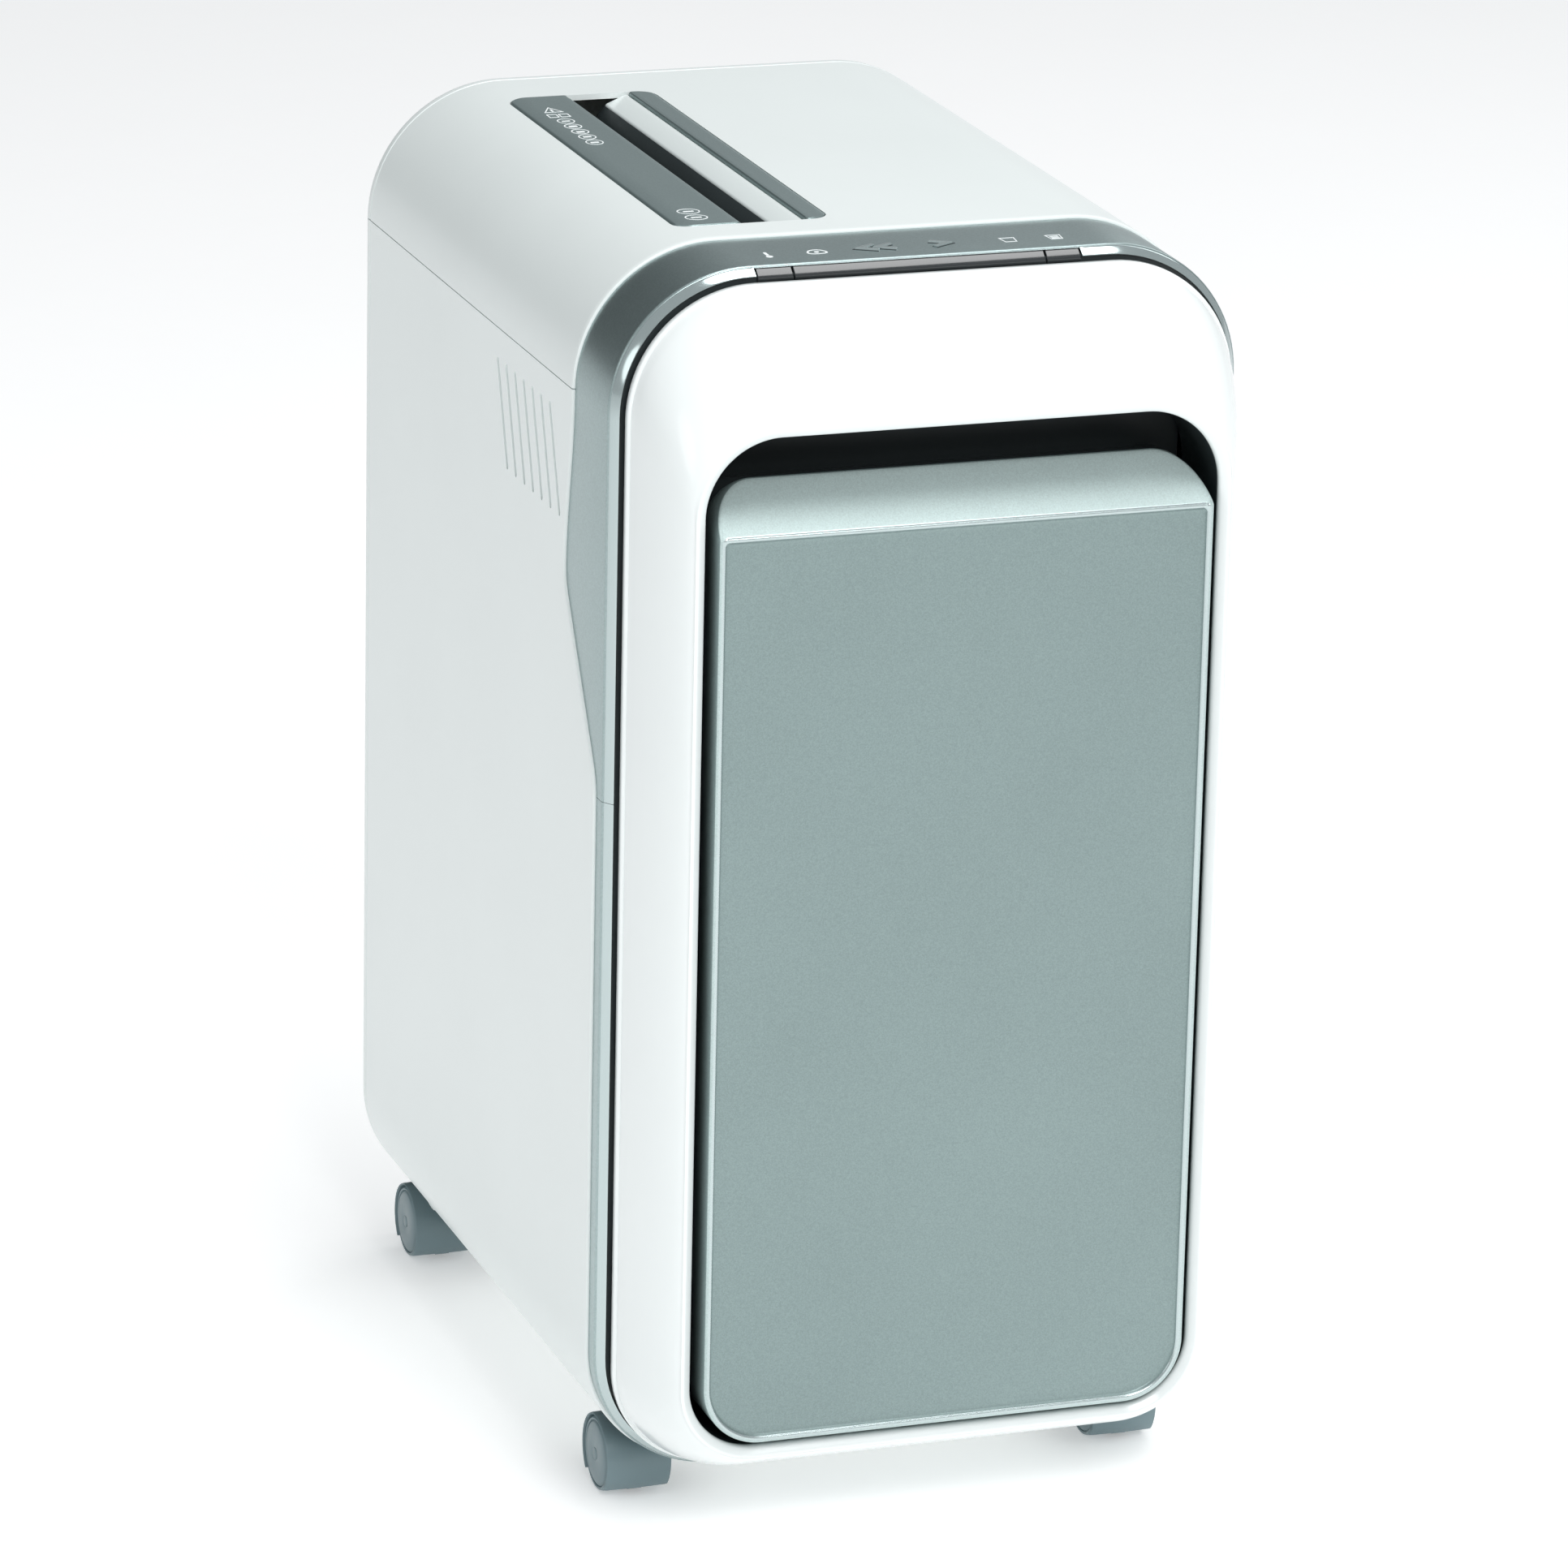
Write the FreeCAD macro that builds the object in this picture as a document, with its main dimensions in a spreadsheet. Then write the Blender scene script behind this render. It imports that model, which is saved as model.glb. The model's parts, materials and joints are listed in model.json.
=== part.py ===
import FreeCAD, Part
import math
import os
import Sketcher

# Free-standing deskside paper shredder on four twin-wheel casters.
# Frame: +Z up, front faces -Y, +X to the right seen from the front, origin on the floor under the
# middle of the body. All sizes are millimetres (angles in degrees).

SIZES = {
    # overall
    "body_width": 274, "body_depth": 400, "body_height": 540, "base_height": 19,
    "top_radius": 60, "base_radius": 55, "wall": 2.5, "seam_height": 480, "seam_gap": 0.5,
    "rear_edge": 6, "lap_gap": 0.2,
    # front bezel and its window
    "face_proud": 3.5, "bezel_depth": 45.5, "bezel_side": 5, "bezel_gap": 1.5, "bezel_top_drop": 3.5,
    "bezel_bottom_rise": 3, "bezel_top_radius": 56, "bezel_base_radius": 42,
    "window_width": 220, "window_bottom": 47.7, "window_top": 480.5, "window_top_radius": 32,
    "window_base_radius": 28, "rim_width": 4,
    # trim bands
    "trim_step": 5, "trim_drop": 4, "upper_trim": 43.5, "lower_trim": 8, "trim_split": 317,
    "lip_waist_back": 9, "lip_waist_top": 446, "lip_waist": 405, "lip_waist_base": 396,
    "lip_foot": 333, "lip_foot_forward": 30, "lip_foot_base": 306,
    # controls and lights
    "lens_left": -75, "lens_right": 65, "lens_split_left": -59, "lens_split_right": 49.5,
    "key_set_back": 15.5, "reverse_x": -17, "forward_x": 10.5, "key_size": 11, "key_stroke": 2.2,
    "key_rise": 1, "key_play": 0.35, "key_travel": 0.8, "light_size": 6,
    # feed opening
    "feed_left": -86, "feed_right": -20, "feed_front": -80, "feed_rear": 158,
    "feed_sink": 1, "slot_x": -50, "slot_width": 6, "throat": 230, "guide_left": 7.3,
    "guide_right": 18.5, "guide_depth": 34, "strip_width": 10,
    # cutting block
    "cutter_z": 478, "shaft_gap": 36, "disc_radius": 19, "drum_core": 14, "disc_pitch": 6.4,
    "disc_width": 3.1, "disc_count": 36, "tooth_count": 8, "journal": 6, "run_gap": 0.05,
    "plate": 3.5, "bush_wall": 3,
    # gears and motor
    "sync_module": 2, "sync_teeth": 18, "main_module": 1.25, "main_teeth": 60, "idler_small": 15,
    "motor_module": 1, "idler_large": 60, "pinion_teeth": 12, "gear_width": 8, "gear_space": 1.5,
    "motor_radius": 34, "motor_length": 94, "motor_shaft": 4, "fan_radius": 30, "fan_blades": 9,
    # inside frame
    "cradle_z": 432, "cradle_plate": 4,
    # bin
    "bin_width": 212, "bin_bottom": 51, "bin_base_radius": 26, "bin_wall": 2.5, "ridge_z": 441.5,
    "ridge_proud": 1.7, "grip_rise": 18.5, "grip_set_back": 18, "grip_radius": 20, "tub_width": 206,
    "tub_length": 349, "tub_top": 428, "tub_base_radius": 24, "runner_x": 60, "runner_width": 14,
    # casters
    "stem_x": 110, "stem_front": -104, "stem_rear": 164, "wheel_radius": 16, "wheel_width": 10,
    "trail": 8, "yoke_web": 7, "yoke_skin": 1.5, "well_radius": 30, "well_roof": 42,
    "boss_radius": 9, "stem_radius": 4, "axle_radius": 2.5,
    # rear fittings
    "inlet_z": 425, "inlet_x": 70, "gland_bore": 4, "rocker_x": 98,
}

# Details that stay the same when the sheet's sizes change.
VENT_COUNT = 7
VENT = {"top": 466, "base": 424, "rear": 1.5, "pitch": 12.1, "lean": 14.5, "width": 2.8}
GLAND = {"flange": 8, "length": 10}
ROCKER = {"width": 16, "tall": 24, "deep": 14, "rim": 2, "play": 0.4, "tilt": 8, "key_depth": 5,
          "pivot": 4.6, "end_play": 1.6, "pin": 1.2, "pin_reach": 1.4}
KEYS = (("reverse", "reverse_x"), ("forward", "forward_x"))
LIGHT_SPOTS = (-64, -43, 40, 60)
LENS_LEDGE = 0.6
LENS_GAP = 0.3
BEZEL_BULGE = 0.45
ENTRY = {"slope_drop": 10, "slope_lift": 2.5, "flange": 4, "flange_drop": 2, "strip": 0.8}
BOARD = {"half_length": 74, "ahead": 11, "behind": 23, "thick": 1.6, "z": 528}
SWITCH = 6
KEY_FLANGE = 1.2
TOOTH_ANGLE = math.radians(20)
BACKLASH = 0.12
DISC_TOOTH = 2.5
LEFT_SHIFT = 0.1
COMB = {"bar": 6, "tall": 8, "tooth": 2.2, "outside": 1.5, "inside": 1}
END_PLATES = {"left": -98, "front_right": 0, "rear_right": 92, "top": 502}
ROD_SPOTS = ((-88, 444), (-12, 444), (-50, 446))
ROD_PROUD = 2
TIE_RADIUS = 4
MOTOR = {"aside": 80, "drop": 4, "cap": 12, "cap_step": 2}
IDLER_PIN = 4
IDLER_HUB = 2.5
PINION_BORE = 3
FAN = {"gap": 4, "thick": 8, "hub": 8, "blade": 1.2}
CRADLE = {"behind_step": 6.5, "before_seam": 10, "hole_left": -92, "hole_right": -8, "hole_front": -74,
          "hole_rear": 150}
GUIDE_GAP = 1.5
GUIDE_WALL = 2
SCREWS = {"head": 3.2, "shank": 1.5, "long": 8, "tall": 1.8, "middle": 5, "aside": 15, "front": 12,
          "rear": 16}
PAN_BACK = 1
PAN_END = 2
RUNNER_GAP = 0.3
BOSS_DEEP = 4
RECESS = {"gap": 2, "rise": 8}
POWER = {"left": 20, "right": 100, "front": -70, "rear": 30, "lift": 6, "foot": 3, "foot_inset": 5}
# Tall parts of the power board: x, y, diameter and height.
POWER_PARTS = ((30, -55, 10, 26), (60, -50, 14, 18), (86, -40, 9, 30), (40, 0, 12, 20), (80, 10, 8, 14))
SENSOR = {"size": 7, "lift": 4}
# Bin sensors: left end, length, depth and height of each.
BIN_SENSORS = (("bin_switch", 40, 20, 10, 12), ("bin_full_sensor", 0, 12, 12, 8))
BIN_SENSOR_BACK = 4
FRONT_DEPTH = 24
RIDGE_FOOT = 8
TRAY = {"side": 8, "deep": 44, "tall": 26}
CASTER_NAMES = ("front_left", "front_right", "rear_left", "rear_right")
HOOD_GAP = 0.7
FENDER_CUT = 3
WEB_LOW = 9
WEB_LAP = 0.5
COLLAR = 3

doc = FreeCAD.newDocument("Shredder")
sheet = doc.addObject("Spreadsheet::Sheet", "Sizes")
for row, (alias, number) in enumerate(SIZES.items(), start=1):
    sheet.set("A%d" % row, alias)
    sheet.set("B%d" % row, str(number))
    sheet.setAlias("B%d" % row, alias)
doc.recompute()


class Size:
    """A length that knows both its number and the sheet expression that gives it."""

    def __init__(self, text, value):
        """text is the expression and value the number it gives now."""
        self.text = text
        self.value = float(value)

    def _join(self, other, sign, swap=False):
        """This Size and another joined by an arithmetic sign, the other one first when swap is set."""
        other = as_size(other)
        left, right = (other, self) if swap else (self, other)
        if sign == "+":
            number = left.value + right.value
        elif sign == "-":
            number = left.value - right.value
        elif sign == "*":
            number = left.value * right.value
        else:
            number = left.value / right.value
        return Size("(%s %s %s)" % (left.text, sign, right.text), number)

    def __add__(self, other):
        return self._join(other, "+")

    def __radd__(self, other):
        return self._join(other, "+", True)

    def __sub__(self, other):
        return self._join(other, "-")

    def __rsub__(self, other):
        return self._join(other, "-", True)

    def __mul__(self, other):
        return self._join(other, "*")

    def __rmul__(self, other):
        return self._join(other, "*", True)

    def __truediv__(self, other):
        return self._join(other, "/")

    def __neg__(self):
        return self._join(-1, "*")

    def __float__(self):
        return self.value


def as_size(number):
    """number itself if it is a Size, else a Size holding that plain number."""
    return number if isinstance(number, Size) else Size("(%r)" % float(number), number)


def size(alias):
    """The Size of one named cell of the sheet."""
    return Size("Sizes." + alias, SIZES[alias])


def root(number):
    """Square root of a Size."""
    return Size("sqrt(%s)" % number.text, math.sqrt(number.value))


def bind(thing, prop, number):
    """Binds a property to the sheet."""
    thing.setExpression(prop, as_size(number).text)


def place(thing, x=0, y=0, z=0):
    """Binds where an object stands."""
    for axis, number in zip("xyz", (x, y, z)):
        bind(thing, "Placement.Base." + axis, number)


# ---------------------------------------------------------------- solids

def box(name, x, y, z):
    """Block between the corner pairs x, y and z."""
    thing = doc.addObject("Part::Box", name)
    for prop, (low, high) in zip(("Length", "Width", "Height"), (x, y, z)):
        bind(thing, prop, high - low if isinstance(high, Size) else as_size(high) - low)
    place(thing, x[0], y[0], z[0])
    return thing


TURNS = {
    "X": FreeCAD.Rotation(FreeCAD.Vector(0, 1, 0), 90),
    "Y": FreeCAD.Rotation(FreeCAD.Vector(1, 0, 0), -90),
    "Z": FreeCAD.Rotation(),
}


def rod(name, axis, radius, start, length):
    """Cylinder of that radius from start, running length along +axis."""
    thing = doc.addObject("Part::Cylinder", name)
    bind(thing, "Radius", radius)
    bind(thing, "Height", length)
    thing.Placement = FreeCAD.Placement(FreeCAD.Vector(), TURNS[axis])
    place(thing, *start)
    return thing


def cut(name, base, tool):
    """base with tool taken away."""
    thing = doc.addObject("Part::Cut", name)
    thing.Base = base
    thing.Tool = tool
    return thing


def fuse(name, *parts):
    """parts joined into one solid."""
    thing = doc.addObject("Part::MultiFuse", name)
    thing.Shapes = list(parts)
    thing.Refine = True
    return thing


def common(name, *parts):
    """What parts share."""
    thing = doc.addObject("Part::MultiCommon", name)
    thing.Shapes = list(parts)
    return thing


def group(name, *parts):
    """Separate solids kept together as one object."""
    thing = doc.addObject("Part::Compound", name)
    thing.Links = list(parts)
    return thing


# ---------------------------------------------------------------- sketches

PLANES = {"front": "XZ_Plane", "side": "YZ_Plane", "top": "XY_Plane"}


def new_body(name):
    """Empty body that sketched features are added to."""
    return doc.addObject("PartDesign::Body", name)


def sketch_on(body, plane, level):
    """Sketch on an origin plane, moved to that level: y on front, x on side, z on top."""
    sketch = body.newObject("Sketcher::SketchObject", body.Name + "_sketch")
    planes = [f for f in body.Origin.OriginFeatures if f.Role == PLANES[plane]]
    sketch.AttachmentSupport = [(planes[0], "")]
    sketch.MapMode = "FlatFace"
    bind(sketch, "AttachmentOffset.Base.z", -as_size(level) if plane == "front" else level)
    return sketch


def pin(sketch, index, point, u, v):
    """Ties one end of a line to its place from the sketch's origin."""
    for kind, number in (("DistanceX", as_size(u)), ("DistanceY", as_size(v))):
        if abs(number.value) < 1e-9:
            anchor = -2 if kind == "DistanceX" else -1
            sketch.addConstraint(Sketcher.Constraint("PointOnObject", index, point, anchor))
            continue
        pair = (-1, 1, index, point) if number.value > 0 else (index, point, -1, 1)
        mark = sketch.addConstraint(Sketcher.Constraint(kind, *pair, abs(number.value)))
        text = number if number.value > 0 else -number
        sketch.setExpression("Constraints[%d]" % mark, text.text)


def polygon(sketch, points):
    """Closed outline of straight sides whose corners are tied to the sheet."""
    corners = [FreeCAD.Vector(float(u), float(v), 0) for u, v in points]
    lines = [Part.LineSegment(a, b) for a, b in zip(corners, corners[1:] + corners[:1])]
    first = sketch.addGeometry(lines, False)[0]
    count = len(points)
    for i in range(count):
        following = first + (i + 1) % count
        sketch.addConstraint(Sketcher.Constraint("Coincident", first + i, 2, following, 1))
        pin(sketch, first + i, 1, *points[i])


def rectangle(sketch, u, v):
    """Rectangle between the pairs u and v."""
    polygon(sketch, [(u[0], v[0]), (u[1], v[0]), (u[1], v[1]), (u[0], v[1])])


def circle(sketch, u, v, radius):
    """Circle tied to the sheet."""
    shape = Part.Circle(FreeCAD.Vector(float(u), float(v), 0), FreeCAD.Vector(0, 0, 1), float(radius))
    index = sketch.addGeometry(shape, False)
    pin(sketch, index, 3, u, v)
    mark = sketch.addConstraint(Sketcher.Constraint("Radius", index, float(radius)))
    sketch.setExpression("Constraints[%d]" % mark, as_size(radius).text)


def rounded(sketch, u, v, top, base):
    """Rectangle between u and v whose upper corners have radius top and lower ones base."""
    (u0, u1), (v0, v1) = [[float(n) for n in pair] for pair in (u, v)]
    rt, rb = float(top), float(base)
    spots = [(u1 - rb, v0 + rb, rb, 270), (u1 - rt, v1 - rt, rt, 0),
             (u0 + rt, v1 - rt, rt, 90), (u0 + rb, v0 + rb, rb, 180)]
    arcs = []
    for cu, cv, radius, start in spots:
        ring = Part.Circle(FreeCAD.Vector(cu, cv, 0), FreeCAD.Vector(0, 0, 1), radius)
        arcs.append(Part.ArcOfCircle(ring, math.radians(start), math.radians(start + 90)))
    lines = []
    for before, after in zip([arcs[3]] + arcs[:3], arcs):
        lines.append(Part.LineSegment(before.EndPoint, after.StartPoint))
    first = sketch.addGeometry([piece for pair in zip(lines, arcs) for piece in pair], False)[0]
    for i in range(8):
        sketch.addConstraint(Sketcher.Constraint("Tangent", first + i, 2, first + (i + 1) % 8, 1))
    for i, kind in enumerate(("Horizontal", "Vertical", "Horizontal", "Vertical")):
        sketch.addConstraint(Sketcher.Constraint(kind, first + 2 * i))
    for i, kind, number in ((0, "DistanceY", v[0]), (2, "DistanceX", u[1]),
                            (4, "DistanceY", v[1]), (6, "DistanceX", u[0])):
        number = as_size(number)
        pair = (-1, 1, first + i, 1) if number.value > 0 else (first + i, 1, -1, 1)
        mark = sketch.addConstraint(Sketcher.Constraint(kind, *pair, abs(number.value)))
        text = number if number.value > 0 else -number
        sketch.setExpression("Constraints[%d]" % mark, text.text)
    for i, radius in ((1, base), (3, top), (5, top), (7, base)):
        mark = sketch.addConstraint(Sketcher.Constraint("Radius", first + i, float(radius)))
        sketch.setExpression("Constraints[%d]" % mark, as_size(radius).text)


def feature(body, kind, sketch, length=None):
    """Pad or Pocket of a sketch. A pad grows to -y on front, +x on side and +z on top."""
    thing = body.newObject("PartDesign::" + kind, body.Name + "_" + kind.lower())
    thing.Profile = sketch
    if length is None:
        thing.Type = 1
        thing.Midplane = True
    else:
        bind(thing, "Length", length)
        thing.Reversed = kind == "Pocket"
    return thing


def loft(body, kind, first, last):
    """AdditiveLoft or SubtractiveLoft between two sketches."""
    thing = body.newObject("PartDesign::" + kind, body.Name + "_loft")
    thing.Profile = first
    thing.Sections = [last]
    thing.Ruled = True
    return thing


KEPT = []


def keep(thing, label):
    """Names a finished sub-part."""
    thing.Label = label
    KEPT.append(thing)
    return thing


# ---------------------------------------------------------------- levels worked out from the sheet

wall = size("wall")
lap = size("lap_gap")
half = size("body_width") / 2
height = size("body_height")
base = size("base_height")
seam = size("seam_height")
rear = size("body_depth") / 2
rear_seam = rear - size("rear_edge")
ridge_y = -rear
bezel_front = ridge_y + size("face_proud")
bezel_back = bezel_front + size("bezel_depth")
step_front = bezel_back + size("bezel_gap")
step_back = step_front + size("trim_step")
lip_y = step_back + size("upper_trim")
foot_y = step_back + size("lower_trim")
key_y = step_back + size("key_set_back")
cradle_front = step_back + CRADLE["behind_step"]
cradle_rear = rear_seam - CRADLE["before_seam"]
clear = 60

feed_mid = (size("feed_front") + size("feed_rear")) / 2
drum_half = size("disc_pitch") * size("disc_count") / 2
shaft_z = size("cutter_z")
left_x = size("slot_x") - size("shaft_gap") / 2
right_x = size("slot_x") + size("shaft_gap") / 2
cradle_low = size("cradle_z")
cradle_top = cradle_low + size("cradle_plate")
plate = size("plate")
plate_gap = 1
front_plate_y = feed_mid - drum_half - plate_gap - plate
rear_plate_y = feed_mid + drum_half + plate_gap
gear = size("gear_width")
layer = [rear_plate_y + plate + size("gear_space") + (gear + size("gear_space")) * n for n in range(3)]


def outline(sketch, inset):
    """The body's rounded outline seen from the front, moved in by inset."""
    rounded(sketch, (inset - half, half - inset), (base + inset, height - inset),
            size("top_radius") - inset, size("base_radius") - inset)


def lip(forward):
    """Front edge of the white casing from above its top to below its base, moved forward."""
    waist = lip_y + size("lip_waist_back")
    foot = lip_y - size("lip_foot_forward")
    return [(lip_y - forward, height + clear), (lip_y - forward, size("lip_waist_top")),
            (waist - forward, size("lip_waist")), (waist - forward, size("lip_waist_base")),
            (foot - forward, size("lip_foot")), (foot_y - forward, size("lip_foot_base")),
            (foot_y - forward, base - clear)]


def cut_block(body, name, y, z):
    """Takes away everything between the pairs y and z, right across the body."""
    sketch = sketch_on(body, "side", 0)
    rectangle(sketch, y, z)
    thing = feature(body, "Pocket", sketch)
    thing.Label = body.Name + "_" + name
    return thing


def casing_length(body, inset, start, end, thick):
    """Tube with the body's outline from y = start forward to y = end."""
    sketch = sketch_on(body, "front", start)
    outline(sketch, inset)
    outline(sketch, inset + thick)
    return feature(body, "Pad", sketch, start - end)


# ---------------------------------------------------------------- white casing

def casing(name):
    """Casing tube whose front edge follows the lip."""
    body = new_body(name)
    casing_length(body, as_size(0), rear_seam - lap, foot_y, wall)
    sketch = sketch_on(body, "side", 0)
    edge = lip(0)
    polygon(sketch, edge + [(edge[-1][0] - clear, base - clear), (edge[-1][0] - clear, height + clear)])
    feature(body, "Pocket", sketch)
    return body


def make_cabinet():
    """Lower casing with side vents and round clearances over the casters."""
    body = casing("cabinet_shell")
    cut_block(body, "above", (-rear - clear, rear + clear), (seam, height + clear))
    sketch = sketch_on(body, "side", 0)
    for n in range(VENT_COUNT):
        y = VENT["rear"] - n * VENT["pitch"]
        low = (y - VENT["lean"], VENT["base"])
        polygon(sketch, [low, (low[0] + VENT["width"], low[1]), (y + VENT["width"], VENT["top"]),
                         (y, VENT["top"])])
    feature(body, "Pocket", sketch)
    sketch = sketch_on(body, "top", 0)
    for x, y in caster_spots():
        circle(sketch, x, y, size("well_radius"))
    feature(body, "Pocket", sketch, size("well_roof"))
    keep(body, "cabinet_shell")


def caster_spots():
    """Centres of the four caster stems."""
    return [(side * size("stem_x"), y) for y in (size("stem_front"), size("stem_rear"))
            for side in (-1, 1)]


def make_hood():
    """Upper casing with the opening that holds the entry plate."""
    body = casing("hood_shell")
    cut_block(body, "below", (-rear - clear, rear + clear), (base - clear, seam + size("seam_gap")))
    sketch = sketch_on(body, "top", seam)
    rectangle(sketch, (size("feed_left") - lap, size("feed_right") + lap),
              (size("feed_front") - lap, size("feed_rear") + lap))
    feature(body, "Pocket", sketch, height - seam + clear)
    keep(body, "hood_shell")


def make_back(name, z):
    """Shallow cover over the back, between the pair z."""
    body = new_body(name)
    sketch = sketch_on(body, "front", rear)
    outline(sketch, as_size(0))
    feature(body, "Pad", sketch, rear - rear_seam)
    sketch = sketch_on(body, "front", rear - wall)
    outline(sketch, wall)
    feature(body, "Pocket", sketch, rear)
    cut_block(body, "trim", (-rear, rear + clear), z)
    return body


def make_back_covers():
    """Upper back cover, and the lower back panel with its cord gland and rocker openings."""
    keep(make_back("upper_back_cover", (base - clear, seam + size("seam_gap"))), "upper_back_cover")
    body = make_back("lower_back_panel", (seam, height + clear))
    sketch = sketch_on(body, "front", rear + 1)
    circle(sketch, size("inlet_x"), size("inlet_z"), GLAND["flange"])
    rectangle(sketch, (size("rocker_x") - ROCKER["width"] / 2, size("rocker_x") + ROCKER["width"] / 2),
              (size("inlet_z") - ROCKER["tall"] / 2, size("inlet_z") + ROCKER["tall"] / 2))
    feature(body, "Pocket", sketch, wall * 2)
    keep(body, "lower_back_panel")


def make_rear_fittings():
    """Cord gland, and the mains rocker on its pivot pin in a frame."""
    x, z = size("inlet_x"), size("inlet_z")
    start = rear - GLAND["length"]
    shell = rod("gland_shell", "Y", GLAND["flange"], (x, start, z), GLAND["length"])
    bore = rod("gland_hole", "Y", size("gland_bore"), (x, start - 1, z), GLAND["length"] + 2)
    keep(cut("cord_gland", shell, bore), "cord_gland")

    x = size("rocker_x")
    w, t, rim = ROCKER["width"] / 2, ROCKER["tall"] / 2, ROCKER["rim"]
    deep = rear - ROCKER["deep"]
    frame = box("rocker_block", (x - w, x + w), (deep, rear), (z - t, z + t))
    hole = box("rocker_hole", (x - w + rim, x + w - rim), (deep + rim, rear + 1),
               (z - t + rim, z + t - rim))
    pivot = rear - ROCKER["pivot"]
    gap = rim + ROCKER["play"]
    reach = w - gap + ROCKER["pin_reach"]
    seat = rod("rocker_seat", "X", ROCKER["pin"] + size("run_gap"), (x - reach - lap, pivot, z),
               (reach + lap) * 2)
    keep(cut("rocker_frame", frame, group("rocker_openings", hole, seat)), "rocker_frame")

    key = doc.addObject("Part::Box", "rocker_paddle")
    bind(key, "Length", ROCKER["width"] - 2 * gap)
    bind(key, "Width", ROCKER["key_depth"])
    bind(key, "Height", ROCKER["tall"] - 2 * gap - ROCKER["end_play"])
    turn = FreeCAD.Rotation(FreeCAD.Vector(1, 0, 0), -ROCKER["tilt"])
    low = turn.multVec(FreeCAD.Vector(0, -ROCKER["key_depth"] / 2, gap + ROCKER["end_play"] / 2 - t))
    key.Placement = FreeCAD.Placement(FreeCAD.Vector(), turn)
    place(key, x - w + gap, pivot + low.y, z + low.z)
    pins = rod("rocker_pins", "X", ROCKER["pin"], (x - reach, pivot, z), as_size(reach * 2))
    keep(fuse("rocker_key", key, pins), "rocker_key")


# ---------------------------------------------------------------- silver bands and front frame

def trim_ring(name, z):
    """Band between the casing's lip and the bezel, without what lies between the pair z."""
    body = new_body(name)
    casing_length(body, as_size(0), lip_y + clear / 2, step_back, wall)
    sketch = sketch_on(body, "side", 0)
    edge = lip(lap)
    back = lip_y + clear
    polygon(sketch, edge + [(back, base - clear), (back, height + clear)])
    feature(body, "Pocket", sketch)
    drop = size("trim_drop")
    folds = ((step_back + wall, step_back, wall, drop), (step_back, step_front, drop, wall))
    for start, end, inset, thick in folds:
        sketch = sketch_on(body, "front", start)
        outline(sketch, inset)
        outline(sketch, inset + thick)
        feature(body, "Pad", sketch, start - end)
    cut_block(body, "split", (-rear - clear, rear + clear), z)
    return body


def make_trims():
    """Upper band with openings for keys, lights and status window, and the narrow lower strip."""
    split = size("trim_split")
    upper = trim_ring("upper_trim", (base - clear, split + lap))
    sketch = sketch_on(upper, "top", height - wall * 2)
    reach = size("key_size") / 2 + size("key_play")
    for _, alias in KEYS:
        x = size(alias)
        rectangle(sketch, (x - reach, x + reach), (key_y - reach, key_y + reach))
    reach = size("light_size") / 2
    for x in LIGHT_SPOTS:
        rectangle(sketch, (x - reach, x + reach), (key_y - reach, key_y + reach))
    feature(upper, "Pocket", sketch, wall * 2 + 1)
    sketch = sketch_on(upper, "top", height - size("trim_drop") - wall - lap)
    rectangle(sketch, (size("lens_left"), size("lens_right")), (step_front - clear, step_back - LENS_LEDGE))
    feature(upper, "Pocket", sketch, wall + lap + 1)
    keep(upper, "upper_trim")
    keep(trim_ring("lower_trim", (split, height + clear)), "lower_trim")


def make_lens():
    """Smoked status window in three lengths along the step in front of the band."""
    top = height - size("trim_drop")
    spans = ((size("lens_left") + lap, size("lens_split_left") - LENS_GAP),
             (size("lens_split_left"), size("lens_split_right") - LENS_GAP),
             (size("lens_split_right"), size("lens_right") - lap))
    parts = [box("lens_%d" % n, span, (step_front, step_back - LENS_LEDGE - lap), (top - wall, top))
             for n, span in enumerate(spans)]
    keep(group("status_window", *parts), "status_window")


def bezel_section(sketch, share, inset):
    """Bezel outline at that share of the way from the full outline (0) to the window rim (1)."""
    rim = size("rim_width")
    full = (half, base + size("bezel_bottom_rise"), height - size("bezel_top_drop"))
    near = (size("window_width") / 2 + rim, size("window_bottom") - rim, size("window_top") + rim)
    wide, low, high = [a + (b - a) * share for a, b in zip(full, near)]
    top = size("bezel_top_radius") + (size("window_top_radius") + rim - size("bezel_top_radius")) * share
    foot_change = size("window_base_radius") + rim - size("bezel_base_radius")
    foot = size("bezel_base_radius") + foot_change * share
    rounded(sketch, (inset - wide, wide - inset), (low + inset, high - inset), top - inset, foot - inset)


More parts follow.
